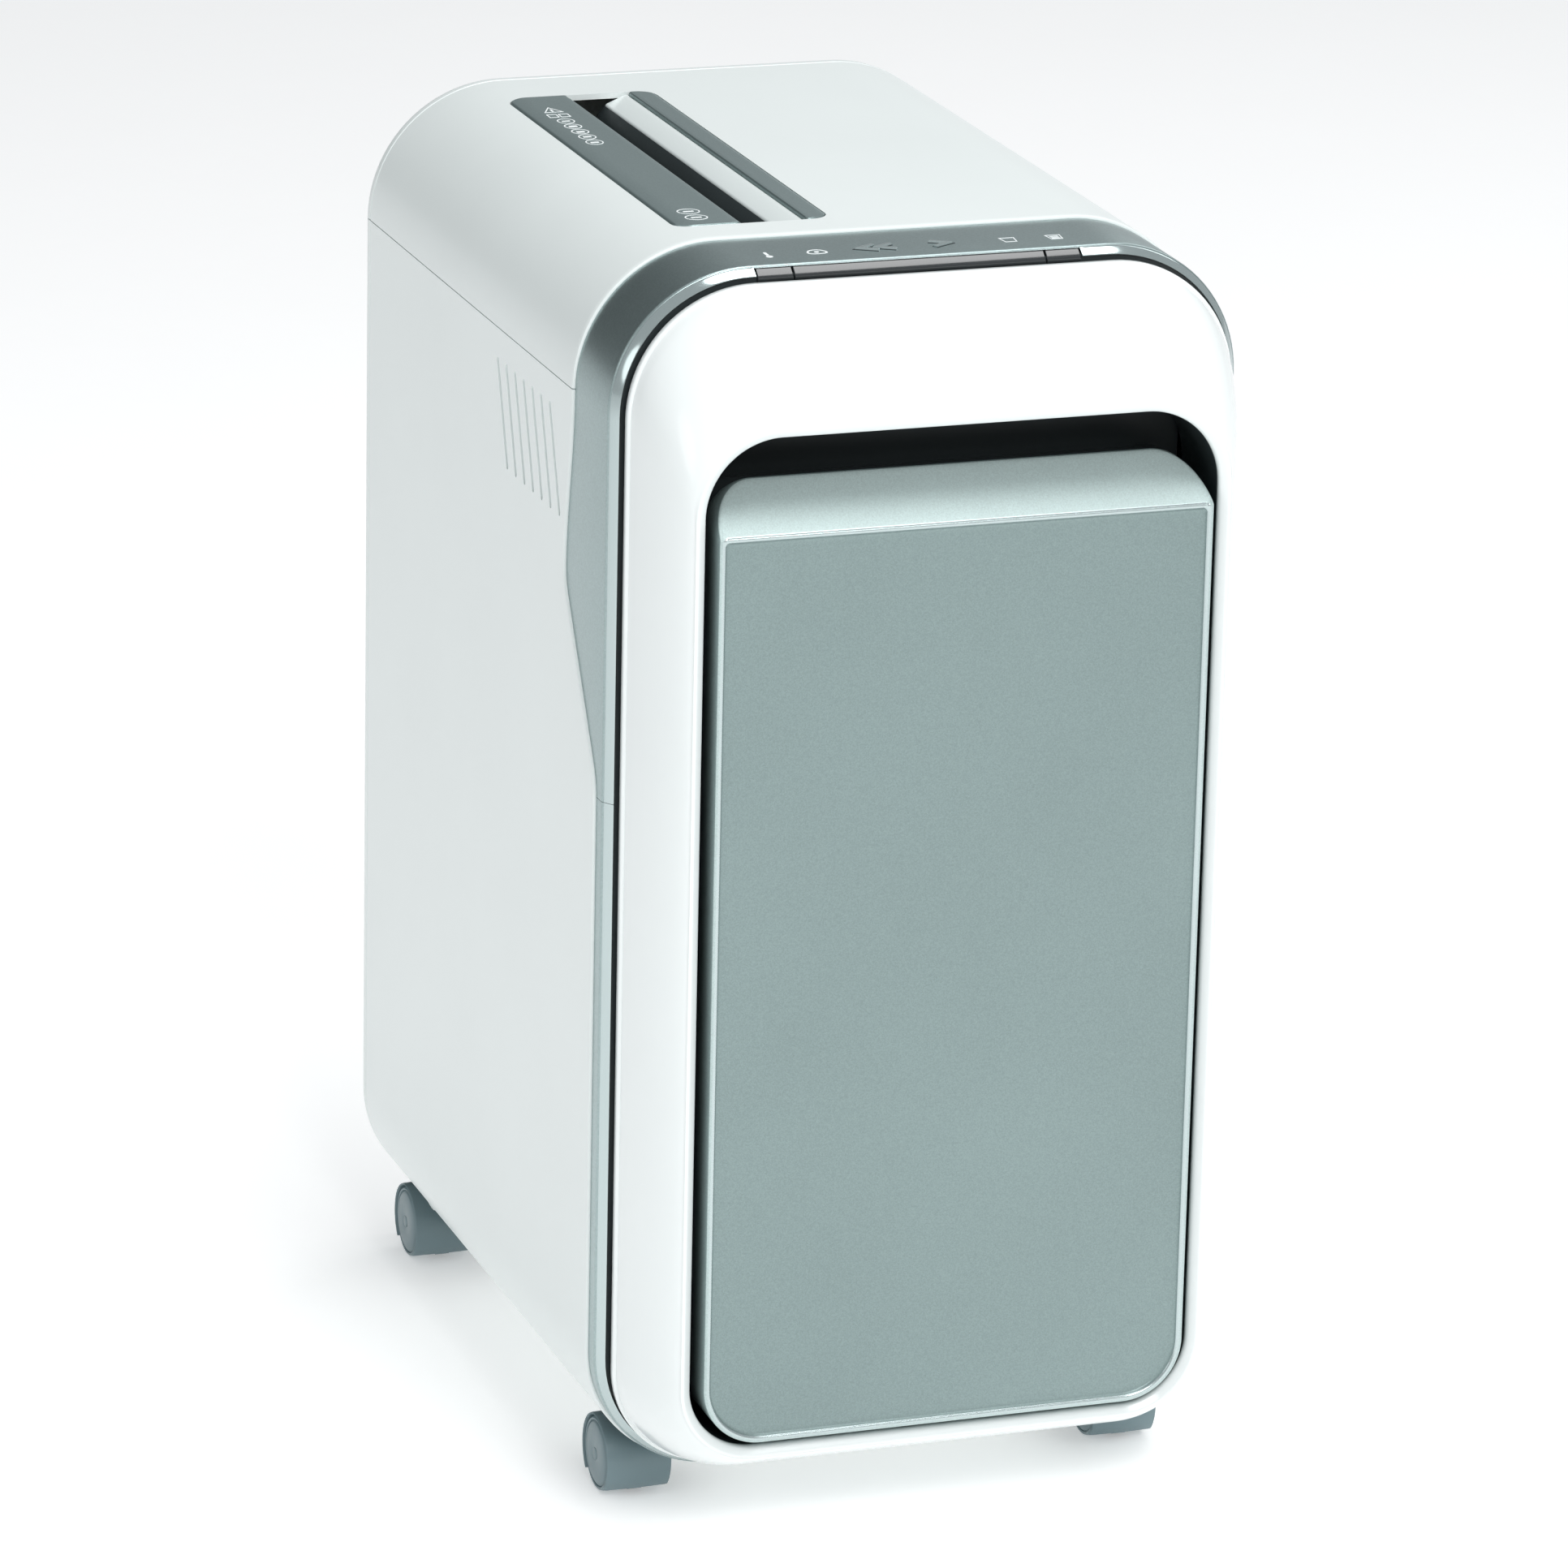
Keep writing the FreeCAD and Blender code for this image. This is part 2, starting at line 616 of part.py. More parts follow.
def make_front_frame():
    """Hollow bezel that slopes from the full outline to the rim of the bin window."""
    body = new_body("front_frame")
    skirt = bezel_back - size("bezel_side")
    middle = (skirt + bezel_front) / 2 - size("bezel_side")
    stops = ((bezel_back, 0), (skirt, 0), (middle, BEZEL_BULGE), (bezel_front, 1))
    for kind, inset, shift in (("AdditiveLoft", as_size(0), as_size(0)), ("SubtractiveLoft", wall, wall)):
        for (y0, s0), (y1, s1) in zip(stops, stops[1:]):
            pair = []
            for y, share in ((y0, s0), (y1, s1)):
                sketch = sketch_on(body, "front", y + shift)
                bezel_section(sketch, share, inset)
                pair.append(sketch)
            loft(body, kind, *pair)
    wide = size("window_width") / 2
    low, high = size("window_bottom"), size("window_top")
    sketch = sketch_on(body, "front", bezel_back)
    for grow in (wall, as_size(0)):
        rounded(sketch, (-wide - grow, wide + grow), (low - grow, high + grow),
                size("window_top_radius") + grow, size("window_base_radius") + grow)
    feature(body, "Pad", sketch, size("bezel_depth"))
    sketch = sketch_on(body, "front", bezel_back)
    rounded(sketch, (-wide, wide), (low, high), size("window_top_radius"), size("window_base_radius"))
    feature(body, "Pocket", sketch, size("bezel_depth") + 1)
    keep(body, "front_frame")


# ---------------------------------------------------------------- feed opening and controls

def make_entry():
    """Entry plate with the paper throat through it, and the pale guide strip on its slope."""
    top = height - size("feed_sink")
    under = height - wall * 2 - ENTRY["flange_drop"]
    left, right = size("feed_left"), size("feed_right")
    front_edge, back_edge = size("feed_front"), size("feed_rear")
    half_throat = size("throat") / 2
    y = (feed_mid - half_throat, feed_mid + half_throat)
    x = size("slot_x")
    floor = height - size("guide_depth")
    slot = size("slot_width") / 2
    rim = ENTRY["flange"]
    lap_plate = box("entry_lap", (left - rim, right + rim), (front_edge - rim, back_edge + rim),
                    (under, under + wall))
    face = box("entry_face", (left, right), (front_edge, back_edge), (under, top))
    block = box("entry_block", (x - size("guide_left") - wall, x + size("guide_right") + wall),
                (y[0] - wall, y[1] + wall), (floor, top))
    throat = new_body("entry_throat")
    sketch = sketch_on(throat, "front", y[1])
    slope = (x + slot + ENTRY["slope_lift"], top - ENTRY["slope_drop"])
    edge = (x + size("guide_right"), top + 1)
    polygon(sketch, [(x - slot, floor - 1), (x + slot, floor - 1), slope, edge,
                     (x - size("guide_left"), top + 1)])
    feature(throat, "Pad", sketch, y[1] - y[0])
    keep(cut("entry_plate", fuse("entry_solid", lap_plate, face, block), throat), "entry_plate")

    strip = new_body("guide_strip")
    sketch = sketch_on(strip, "front", y[1] - lap)
    rise = (edge[1] - slope[1]) / (edge[0] - slope[0])
    low_x, high_x = slope[0] + 1, slope[0] + 1 + size("strip_width")
    low_z = slope[1] + rise
    high_z = low_z + rise * size("strip_width")
    polygon(sketch, [(low_x, low_z), (high_x, high_z), (high_x, high_z + ENTRY["strip"]),
                     (low_x, low_z + ENTRY["strip"])])
    feature(strip, "Pad", sketch, y[1] - y[0] - 2 * lap)
    keep(strip, "guide_strip")


def make_keys():
    """Reverse and forward keys, their switches and board, and the indicator lights."""
    top = height + size("key_rise")
    under = height - wall - lap
    low = under - size("key_stroke")
    reach = size("key_size") / 2
    wide = reach + KEY_FLANGE
    for name, alias in KEYS:
        x = size(alias)
        cap = box(name + "_cap", (x - reach, x + reach), (key_y - reach, key_y + reach), (low, top))
        flange = box(name + "_flange", (x - wide, x + wide), (key_y - wide, key_y + wide), (low, under))
        keep(fuse(name + "_button", cap, flange), name + "_button")
    board_top = as_size(BOARD["z"] + BOARD["thick"])
    board = box("control_board", (-BOARD["half_length"], as_size(BOARD["half_length"])),
                (key_y - BOARD["ahead"], key_y + BOARD["behind"]), (BOARD["z"], board_top))
    keep(board, "control_board")
    switch_top = low - size("key_travel") - lap
    switches = []
    for name, alias in KEYS:
        x = size(alias)
        switches.append(box(name + "_switch", (x - SWITCH / 2, x + SWITCH / 2),
                            (key_y - SWITCH / 2, key_y + SWITCH / 2), (board_top, switch_top)))
    keep(group("key_switches", *switches), "key_switches")
    reach = size("light_size") / 2
    lights = [box("light_%d" % n, (x - reach, x + reach), (key_y - reach, key_y + reach),
                  (height - wall, height)) for n, x in enumerate(LIGHT_SPOTS)]
    keep(group("indicator_lights", *lights), "indicator_lights")


# ---------------------------------------------------------------- cutting block

def gear_shape(module, teeth, phase, width, bore):
    """Spur gear along +Y from y = 0, with a tooth centred at phase degrees from +X towards +Z."""
    pitch = module * teeth / 2
    ground = pitch * math.cos(TOOTH_ANGLE)
    tip, foot = pitch + module * 0.95, pitch - module * 1.25
    half_tooth = math.pi / (2 * teeth) - BACKLASH / pitch

    def flank(radius):
        """Half the angle that a tooth fills at that radius."""
        swing = math.acos(ground / radius) if radius > ground else 0
        roll = math.tan(swing) - swing
        start = math.tan(TOOTH_ANGLE) - TOOTH_ANGLE
        return half_tooth + start - roll

    def spot(radius, angle):
        """Point at that radius and angle in the gear's front face."""
        return FreeCAD.Vector(radius * math.cos(angle), 0, radius * math.sin(angle))

    low = max(foot, ground)
    edges = []
    for n in range(teeth):
        middle = math.radians(phase) + 2 * math.pi * n / teeth
        following = middle + 2 * math.pi / teeth
        radii = (low, (low + tip) / 2, tip)
        rise = [spot(r, middle - flank(r)) for r in radii]
        fall = [spot(r, middle + flank(r)) for r in reversed(radii)]
        valley = [spot(low, middle + flank(low)), spot(low, following - flank(low))]
        if foot < ground:
            deep = [spot(foot, middle + flank(low)), spot(foot, following - flank(low))]
            valley = [valley[0], deep[0], deep[1], valley[1]]
        edges.append(Part.Arc(*rise).toShape())
        edges.append(Part.Arc(rise[2], spot(tip, middle), fall[0]).toShape())
        edges.append(Part.Arc(*fall).toShape())
        edges += [Part.LineSegment(a, b).toShape() for a, b in zip(valley, valley[1:])]
    wheel = Part.Face(Part.Wire(edges)).extrude(FreeCAD.Vector(0, width, 0))
    hole = Part.makeCylinder(bore, width + 2, FreeCAD.Vector(0, -1, 0), FreeCAD.Vector(0, 1, 0))
    return wheel.cut(hole)


def solid(name, shape, x=0, y=0, z=0):
    """A shape made in code, placed at x, y, z."""
    thing = doc.addObject("Part::Feature", name)
    thing.Shape = shape
    place(thing, x, y, z)
    return thing


def disc_shape():
    """One cutter disc along +Y from y = 0, with hooked teeth round its rim."""
    teeth = int(SIZES["tooth_count"])
    outer = SIZES["disc_radius"]
    root_radius = outer - DISC_TOOTH
    corners = []
    for n in range(teeth):
        for radius, share in ((root_radius, 0), (outer, 0.08), (root_radius, 0.55)):
            angle = 2 * math.pi * (n + share) / teeth
            corners.append(FreeCAD.Vector(radius * math.cos(angle), 0, radius * math.sin(angle)))
    face = Part.Face(Part.makePolygon(corners + corners[:1]))
    blank = face.extrude(FreeCAD.Vector(0, SIZES["disc_width"], 0))
    hole = Part.makeCylinder(SIZES["drum_core"], SIZES["disc_width"] + 2, FreeCAD.Vector(0, -1, 0),
                             FreeCAD.Vector(0, 1, 0))
    return blank.cut(hole)


def make_drum(side, x, shift, tail):
    """One cutter shaft and its row of discs, moved by shift along Y; the shaft ends at y = tail."""
    journal = size("journal")
    start = feed_mid - drum_half
    core = rod(side + "_core", "Y", size("drum_core"), (x, start, shaft_z), drum_half * 2)
    journals = rod(side + "_journals", "Y", journal, (x, front_plate_y - 1, shaft_z),
                   tail - front_plate_y + 1)
    keep(fuse(side + "_cutter_shaft", core, journals), side + "_cutter_shaft")
    disc = disc_shape()
    rows = []
    for n in range(int(SIZES["disc_count"])):
        rows.append(disc.translated(FreeCAD.Vector(0, n * SIZES["disc_pitch"], 0)))
    keep(solid(side + "_cutter_discs", Part.makeCompound(rows), x, start + shift, shaft_z),
         side + "_cutter_discs")


def make_comb(side, x, way, shift):
    """Stripper comb outside one drum; its fingers stand between the discs."""
    pitch = SIZES["disc_pitch"]
    outer = SIZES["disc_radius"] + COMB["outside"]
    inner = SIZES["drum_core"] + COMB["inside"]
    space = pitch - SIZES["disc_width"]
    start = SIZES["disc_width"] + (space - COMB["tooth"]) / 2
    bar_low = outer if way > 0 else -outer - COMB["bar"]
    bar = Part.makeBox(COMB["bar"], 2 * drum_half.value, COMB["tall"],
                       FreeCAD.Vector(bar_low, 0, -COMB["tall"] / 2))
    fingers = []
    for n in range(int(SIZES["disc_count"]) - 1):
        low = inner if way > 0 else -outer
        corner = FreeCAD.Vector(low, shift + start + n * pitch, -COMB["tall"] / 2)
        fingers.append(Part.makeBox(outer - inner, COMB["tooth"], COMB["tall"], corner))
    shape = bar.multiFuse(fingers).removeSplitter()
    return solid(side + "_comb", shape, x, feed_mid - drum_half, shaft_z)


def motor_spot():
    """Motor axis x and z, then idler axis x and z, from the gear centre distances."""
    first = size("main_module") * (size("main_teeth") + size("idler_small")) / 2
    second = size("motor_module") * (size("idler_large") + size("pinion_teeth")) / 2
    x, z = right_x + MOTOR["aside"], shaft_z - MOTOR["drop"]
    dx, dz = x - right_x, z - shaft_z
    reach = root(dx * dx + dz * dz)
    along = (first * first - second * second + reach * reach) / (reach * 2)
    aside = root(first * first - along * along)
    idler_x = right_x + (dx * along - dz * aside) / reach
    idler_z = shaft_z + (dz * along + dx * aside) / reach
    return x, z, idler_x, idler_z


def make_plates(motor_x, motor_z, idler_x, idler_z):
    """End plates with their tie rods and the bronze bushes of the two shafts."""
    bush = size("journal") + size("run_gap") + size("bush_wall")
    shaft_holes = [(bush, left_x, shaft_z), (bush, right_x, shaft_z)]
    rod_holes = [(TIE_RADIUS, x, z) for x, z in ROD_SPOTS]
    drive_holes = [(size("motor_shaft") + 2, motor_x, motor_z), (IDLER_PIN, idler_x, idler_z)]
    for name, y, right, more in (("front_end_plate", front_plate_y, END_PLATES["front_right"], []),
                                 ("rear_end_plate", rear_plate_y, END_PLATES["rear_right"], drive_holes)):
        blank = box(name + "_blank", (END_PLATES["left"], as_size(right)), (y, y + plate),
                    (cradle_top, as_size(END_PLATES["top"])))
        holes = [rod("%s_hole_%d" % (name, n), "Y", radius, (x, y - 1, z), plate + 2)
                 for n, (radius, x, z) in enumerate(shaft_holes + rod_holes + more)]
        keep(cut(name, blank, group(name + "_holes", *holes)), name)
    length = rear_plate_y - front_plate_y + plate + ROD_PROUD * 2
    ties = [rod("tie_%d" % n, "Y", TIE_RADIUS, (x, front_plate_y - ROD_PROUD, z), length)
            for n, (x, z) in enumerate(ROD_SPOTS)]
    keep(group("tie_rods", *ties), "tie_rods")
    bushes = []
    for end, y in (("front", front_plate_y), ("rear", rear_plate_y)):
        for side, x in (("left", left_x), ("right", right_x)):
            name = "%s_%s_bush" % (end, side)
            ring = rod(name, "Y", bush, (x, y, shaft_z), plate)
            bore = rod(name + "_bore", "Y", size("journal") + size("run_gap"), (x, y - 1, shaft_z),
                       plate + 2)
            bushes.append(cut(name + "_ring", ring, bore))
    keep(group("cutter_bushes", *bushes), "cutter_bushes")


def make_block():
    """End plates, cutters, combs and the gear train from the motor's pinion."""
    motor_x, motor_z, idler_x, idler_z = motor_spot()
    make_plates(motor_x, motor_z, idler_x, idler_z)
    half_pitch = size("disc_pitch") / 2
    make_drum("left", left_x, as_size(LEFT_SHIFT), layer[0] + gear)
    make_drum("right", right_x, half_pitch, layer[1] + gear)
    combs = (make_comb("left", left_x, -1, LEFT_SHIFT),
             make_comb("right", right_x, 1, SIZES["disc_pitch"] / 2))
    keep(group("stripper_combs", *combs), "stripper_combs")

    module, teeth = SIZES["sync_module"], int(SIZES["sync_teeth"])
    width = SIZES["gear_width"]
    bore = SIZES["journal"]
    for side, x, phase in (("left", left_x, 180 / teeth), ("right", right_x, 180)):
        shape = gear_shape(module, teeth, phase, width, bore)
        keep(solid(side + "_sync_gear", shape, x, layer[0], shaft_z), side + "_sync_gear")

    rise, run = idler_z.value - shaft_z.value, idler_x.value - right_x.value
    toward_idler = math.degrees(math.atan2(rise, run))
    rise, run = motor_z.value - idler_z.value, motor_x.value - idler_x.value
    toward_motor = math.degrees(math.atan2(rise, run))
    shape = gear_shape(SIZES["main_module"], int(SIZES["main_teeth"]), toward_idler, width, bore)
    keep(solid("main_gear", shape, right_x, layer[1], shaft_z), "main_gear")
    small, large = int(SIZES["idler_small"]), int(SIZES["idler_large"])
    bore = IDLER_PIN + SIZES["run_gap"]
    space = SIZES["gear_space"]
    near = gear_shape(SIZES["main_module"], small, toward_idler + 180 + 180 / small, width, bore)
    far = gear_shape(SIZES["motor_module"], large, toward_motor, width, bore)
    far.translate(FreeCAD.Vector(0, width + space, 0))
    foot, axis = FreeCAD.Vector(0, width, 0), FreeCAD.Vector(0, 1, 0)
    hub = Part.makeCylinder(bore + IDLER_HUB, space, foot, axis)
    hub = hub.cut(Part.makeCylinder(bore, space, foot, axis))
    cluster = near.multiFuse([hub, far]).removeSplitter()
    keep(solid("idler_gear", cluster, idler_x, layer[1], idler_z), "idler_gear")
    keep(rod("idler_pin", "Y", IDLER_PIN, (idler_x, rear_plate_y, idler_z),
             layer[2] + gear + 1 - rear_plate_y), "idler_pin")
    teeth = int(SIZES["pinion_teeth"])
    phase = toward_motor + 180 + 180 / teeth
    shape = gear_shape(SIZES["motor_module"], teeth, phase, width, PINION_BORE)
    keep(solid("motor_pinion", shape, motor_x, layer[2], motor_z), "motor_pinion")
    make_motor(motor_x, motor_z)


def make_motor(x, z):
    """Motor can with its end cap, the shaft through it, and the cooling fan on the front end."""
    radius = size("motor_radius")
    start = rear_plate_y - size("motor_length")
    cap = MOTOR["cap"]
    for name, y, long, r in (("motor_can", start + cap, size("motor_length") - cap, radius),
                             ("motor_end_cap", start, as_size(cap), radius - MOTOR["cap_step"])):
        drum = rod(name + "_drum", "Y", r, (x, y, z), long)
        bore = rod(name + "_bore", "Y", size("motor_shaft") + size("run_gap"), (x, y - 1, z), long + 2)
        keep(cut(name, drum, bore), name)
    fan_front = start - FAN["gap"] - FAN["thick"]
    thick = rod("motor_shaft_thick", "Y", size("motor_shaft"), (x, fan_front, z),
                layer[2] - 1 - fan_front)
    thin = rod("motor_shaft_thin", "Y", PINION_BORE, (x, fan_front, z), layer[2] + gear - fan_front)
    keep(fuse("motor_shaft", thick, thin), "motor_shaft")
    blades = []
    for n in range(int(SIZES["fan_blades"])):
        blade = Part.makeBox(SIZES["fan_radius"] - FAN["hub"] + 1, FAN["thick"], FAN["blade"],
                             FreeCAD.Vector(FAN["hub"] - 1, 0, -FAN["blade"] / 2))
        blade.rotate(FreeCAD.Vector(), FreeCAD.Vector(0, 1, 0), 360 * n / SIZES["fan_blades"])
        blades.append(blade)
    axis = FreeCAD.Vector(0, 1, 0)
    hub = Part.makeCylinder(FAN["hub"], FAN["thick"], FreeCAD.Vector(), axis).multiFuse(blades)
    hub = hub.cut(Part.makeCylinder(SIZES["motor_shaft"], FAN["thick"], FreeCAD.Vector(), axis))
    keep(solid("motor_fan", hub, x, fan_front, z), "motor_fan")


# ---------------------------------------------------------------- inside frame

def screw_spots():
    """Places of the cradle screws, in front of and behind the block."""
    middle = size("slot_x") + SCREWS["middle"]
    return [(middle + side * SCREWS["aside"], y) for side in (-1, 1)
            for y in (feed_mid - drum_half - SCREWS["front"], feed_mid + drum_half + SCREWS["rear"])]


def make_pan():
    """Base pan with its caster wells, and the socket that each caster stem turns in."""
    roof = size("well_roof")
    section = new_body("pan_section")
    sketch = sketch_on(section, "front", rear_seam - PAN_END)
    outline(sketch, wall + lap)
    feature(section, "Pad", sketch, rear_seam - PAN_END - foot_y - PAN_BACK)
    flat = half - size("base_radius")
    floor = base + wall + lap
    cups, wells, sockets = [], [], []
    for name, (x, y) in zip(CASTER_NAMES, caster_spots()):
        cups.append(rod(name + "_cup", "Z", size("well_radius") + wall, (x, y, floor), roof + wall - floor))
        wells.append(rod(name + "_well", "Z", size("well_radius"), (x, y, 0), roof))
        wells.append(rod(name + "_stem_hole", "Z", size("boss_radius"), (x, y, 0), roof + clear))
        boss = rod(name + "_boss", "Z", size("boss_radius"), (x, y, roof - BOSS_DEEP), BOSS_DEEP + wall)
        bore = rod(name + "_boss_bore", "Z", size("stem_radius") + size("run_gap"), (x, y, 0), roof + clear)
        sockets.append(cut(name + "_socket", boss, bore))
    sheet_plate = box("pan_sheet", (-flat, flat), (foot_y, rear), (floor, floor + wall))
    blank = common("pan_blank", fuse("pan_raw", sheet_plate, *cups), section)
    keep(cut("pan_open", blank, group("pan_wells", *wells)), "base_pan")
    keep(group("caster_sockets", *sockets), "caster_sockets")


def make_inside():
    """Bin runners and guide walls, and the cradle that holds the cutting block."""
    low = base + wall + lap + wall
    high = size("bin_bottom") + size("bin_wall") + lap - RUNNER_GAP
    across = size("runner_width") / 2
    run = (foot_y + size("trim_step") + 2, rear_seam - CRADLE["before_seam"])
    runners = []
    for name, x in (("left", -size("runner_x")), ("right", size("runner_x"))):
        runners.append(box("runner_" + name, (x - across, x + across), run, (low, high)))
    keep(group("bin_runners", *runners), "bin_runners")

    inner = size("bin_width") / 2 + GUIDE_GAP
    outer = inner + GUIDE_WALL
    along = (cradle_front, rear_seam - size("rear_edge"))
    up = (size("well_roof") + wall, cradle_low)
    keep(group("bin_guide_walls", box("guide_wall_left", (-outer, -inner), along, up),
               box("guide_wall_right", (inner, outer), along, up)), "bin_guide_walls")

    wide = half - wall * 2 - 1
    sheet_top = box("cradle_sheet", (-wide, wide), (cradle_front, cradle_rear), (cradle_low, cradle_top))
    hole = box("cradle_hole", (CRADLE["hole_left"], as_size(CRADLE["hole_right"])),
               (CRADLE["hole_front"], as_size(CRADLE["hole_rear"])), (cradle_low - 1, cradle_top + 1))
    holes = [rod("cradle_screw_hole_%d" % n, "Z", SCREWS["shank"], (x, y, cradle_low - 1),
                 size("cradle_plate") + 2) for n, (x, y) in enumerate(screw_spots())]
    keep(cut("cradle", sheet_top, group("cradle_openings", hole, *holes)), "cradle")

    back = step_front + RECESS["gap"]
    edge = size("window_width") / 2
    keep(box("recess_wall", (-edge, edge), (back, back + wall),
             (cradle_top + RECESS["gap"], size("window_top") + RECESS["rise"])), "recess_wall")


def make_electrics():
    """Power board with its tall parts, paper sensors, bin-full sensor and bin switch."""
    low = cradle_top + POWER["lift"]
    top = low + BOARD["thick"]
    keep(box("power_board", (POWER["left"], as_size(POWER["right"])),
             (POWER["front"], as_size(POWER["rear"])), (low, top)), "power_board")
    blocks = [rod("board_part_%d" % n, "Z", across / 2, (x, y, top), tall)
              for n, (x, y, across, tall) in enumerate(POWER_PARTS)]
    keep(group("board_components", *blocks), "board_components")
    inset = POWER["foot_inset"]
    feet = [rod("board_foot_%d_%d" % (x, y), "Z", POWER["foot"], (x, y, cradle_top), POWER["lift"])
            for x in (POWER["left"] + inset, POWER["right"] - inset)
            for y in (POWER["front"] + inset, POWER["rear"] - inset)]
    keep(group("board_standoffs", *feet), "board_standoffs")

    wide = SENSOR["size"]
    z = height - size("guide_depth") + SENSOR["lift"]
    left = size("slot_x") - size("guide_left") - wall
    right = size("slot_x") + size("guide_right") + wall
    along = (feed_mid - wide / 2, feed_mid + wide / 2)
    eyes = [box("eye_left", (left - wide, left), along, (z, z + wide)),
            box("eye_right", (right, right + wide), along, (z, z + wide))]
    keep(group("paper_sensors", *eyes), "paper_sensors")
    y = cradle_front + BIN_SENSOR_BACK
    parts = [box(name, (x, as_size(x + long)), (y, y + deep), (cradle_top, cradle_top + tall))
             for name, x, long, deep, tall in BIN_SENSORS]
    keep(group("bin_sensors", *parts), "bin_sensors")


# ---------------------------------------------------------------- pull-out bin

def bin_front_slab(name, inset, back):
    """The bin front's outline and side profile, moved in by inset and running back to that y."""
    low = size("bin_bottom")
    ridge = size("ridge_z")
    top = ridge + size("grip_rise")
    wide = size("bin_width") / 2
    crest = ridge_y + inset
    face = crest + size("ridge_proud")
    grip = crest + size("grip_set_back")
    prism = new_body(name + "_outline")
    sketch = sketch_on(prism, "front", back)
    rounded(sketch, (inset - wide, wide - inset), (low + inset, top - inset),
            size("grip_radius") - inset, size("bin_base_radius") - inset)
    feature(prism, "Pad", sketch, as_size(FRONT_DEPTH + 2))
    side = new_body(name + "_side")
    sketch = sketch_on(side, "side", -wide - 1)
    polygon(sketch, [(face, low - clear), (face, ridge - RIDGE_FOOT), (crest, ridge), (grip, top),
                     (grip, top + clear), (back + clear, top + clear), (back + clear, low - clear)])
    feature(side, "Pad", sketch, wide * 2 + 2)
    return common(name, prism, side)


def make_bin():
    """Bin front with its ridge and sloping grip, the tub behind it, and the finger tray."""
    thick = size("bin_wall")
    back = ridge_y + FRONT_DEPTH
    keep(cut("bin_front", bin_front_slab("front_outer", as_size(0), back),
             bin_front_slab("front_inner", thick, back + 1)), "bin_front")

    tub = new_body("bin_tub")
    half_tub = size("tub_width") / 2
    tub_low = size("bin_bottom") + thick + lap
    tub_front = ridge_y + size("ridge_proud") + thick
    tub_back = tub_front + size("tub_length")
    radius = size("tub_base_radius")
    for kind, inset in (("Pad", as_size(0)), ("Pocket", thick)):
        sketch = sketch_on(tub, "front", tub_back - inset)
        rounded(sketch, (inset - half_tub, half_tub - inset),
                (tub_low + inset, size("tub_top") + clear - inset), radius - inset, radius - inset)
        feature(tub, kind, sketch, size("tub_length") - inset * 2)
    cut_block(tub, "rim", (-rear - clear, rear + clear), (size("tub_top"), height + clear))
    keep(tub, "bin_tub")

    low = size("tub_top")
    inside = size("bin_width") / 2 - TRAY["side"]
    tray_back = tub_front + TRAY["deep"]
    floor = box("tray_floor", (-inside, inside), (tub_front, tray_back), (low, low + thick))
    rise = box("tray_back", (-inside, inside), (tray_back - thick, tray_back), (low, low + TRAY["tall"]))
    keep(fuse("finger_tray", floor, rise), "finger_tray")


# ---------------------------------------------------------------- casters

def make_casters():
    """Swivel casters: yoke with fender and stem, axle, and a pair of wheels."""
    radius, wide = size("wheel_radius"), size("wheel_width")
    web, axle = size("yoke_web"), size("axle_radius")
    reach = web / 2 + HOOD_GAP / 2 + wide
    inner = radius + HOOD_GAP
    roof = size("well_roof")
    foot = radius + FENDER_CUT
    for name, (x, y) in zip(CASTER_NAMES, caster_spots()):
        way = -1 if name.startswith("front") else 1
        hub = y + way * size("trail")
        around = (hub - clear, hub + clear)
        left = x - reach
        fender = cut(name + "_ring", rod(name + "_fender", "X", inner + size("yoke_skin"),
                                         (left, hub, radius), reach * 2),
                     rod(name + "_space", "X", inner, (left - 1, hub, radius), reach * 2 + 2))
        arch = cut(name + "_arch", fender,
                   box(name + "_below", (left - 1, x + reach + 1), around, (-clear, foot)))
        disc = rod(name + "_web_disc", "X", inner + WEB_LAP, (x - web / 2, hub, radius), web)
        middle = cut(name + "_web", disc,
                     box(name + "_web_cut", (x - web, x + web), around, (-clear, radius - WEB_LOW)))
        stem = rod(name + "_stem", "Z", size("stem_radius"), (x, y, radius), roof + wall - radius)
        collar = rod(name + "_collar", "Z", size("stem_radius") + COLLAR, (x, y, foot),
                     roof - BOSS_DEEP - lap - foot)
        spaces = [common("%s_space_%d" % (name, n),
                         box("%s_slot_%d" % (name, n), across, around, (0, radius * 2 + HOOD_GAP)),
                         rod("%s_round_%d" % (name, n), "X", inner, (left - 1, hub, radius), reach * 2 + 2))
                  for n, across in enumerate(((left - 1, x - web / 2), (x + web / 2, x + reach + 1)))]
        post = cut(name + "_post", fuse(name + "_post_solid", stem, collar),
                   group(name + "_spaces", *spaces))
        hole = rod(name + "_axle_hole", "X", axle, (left, hub, radius), reach * 2)
        yoke = cut(name + "_yoke_bored", fuse(name + "_yoke_solid", arch, middle, post), hole)
        pin_solid = rod(name + "_axle", "X", axle, (left + 1, hub, radius), reach * 2 - 2)
        keep(group(name + "_yoke_and_axle", yoke, pin_solid), name + "_yoke")
        wheels = []
        for label, start in (("a", left), ("b", x + web / 2 + HOOD_GAP / 2)):
            tyre = rod(name + "_tyre_" + label, "X", radius, (start, hub, radius), wide)
            bore = rod(name + "_bore_" + label, "X", axle + size("run_gap"), (start - 1, hub, radius),
                       wide + 2)
            wheels.append(cut(name + "_wheel_" + label, tyre, bore))
        keep(group(name + "_wheels", *wheels), name + "_wheels")


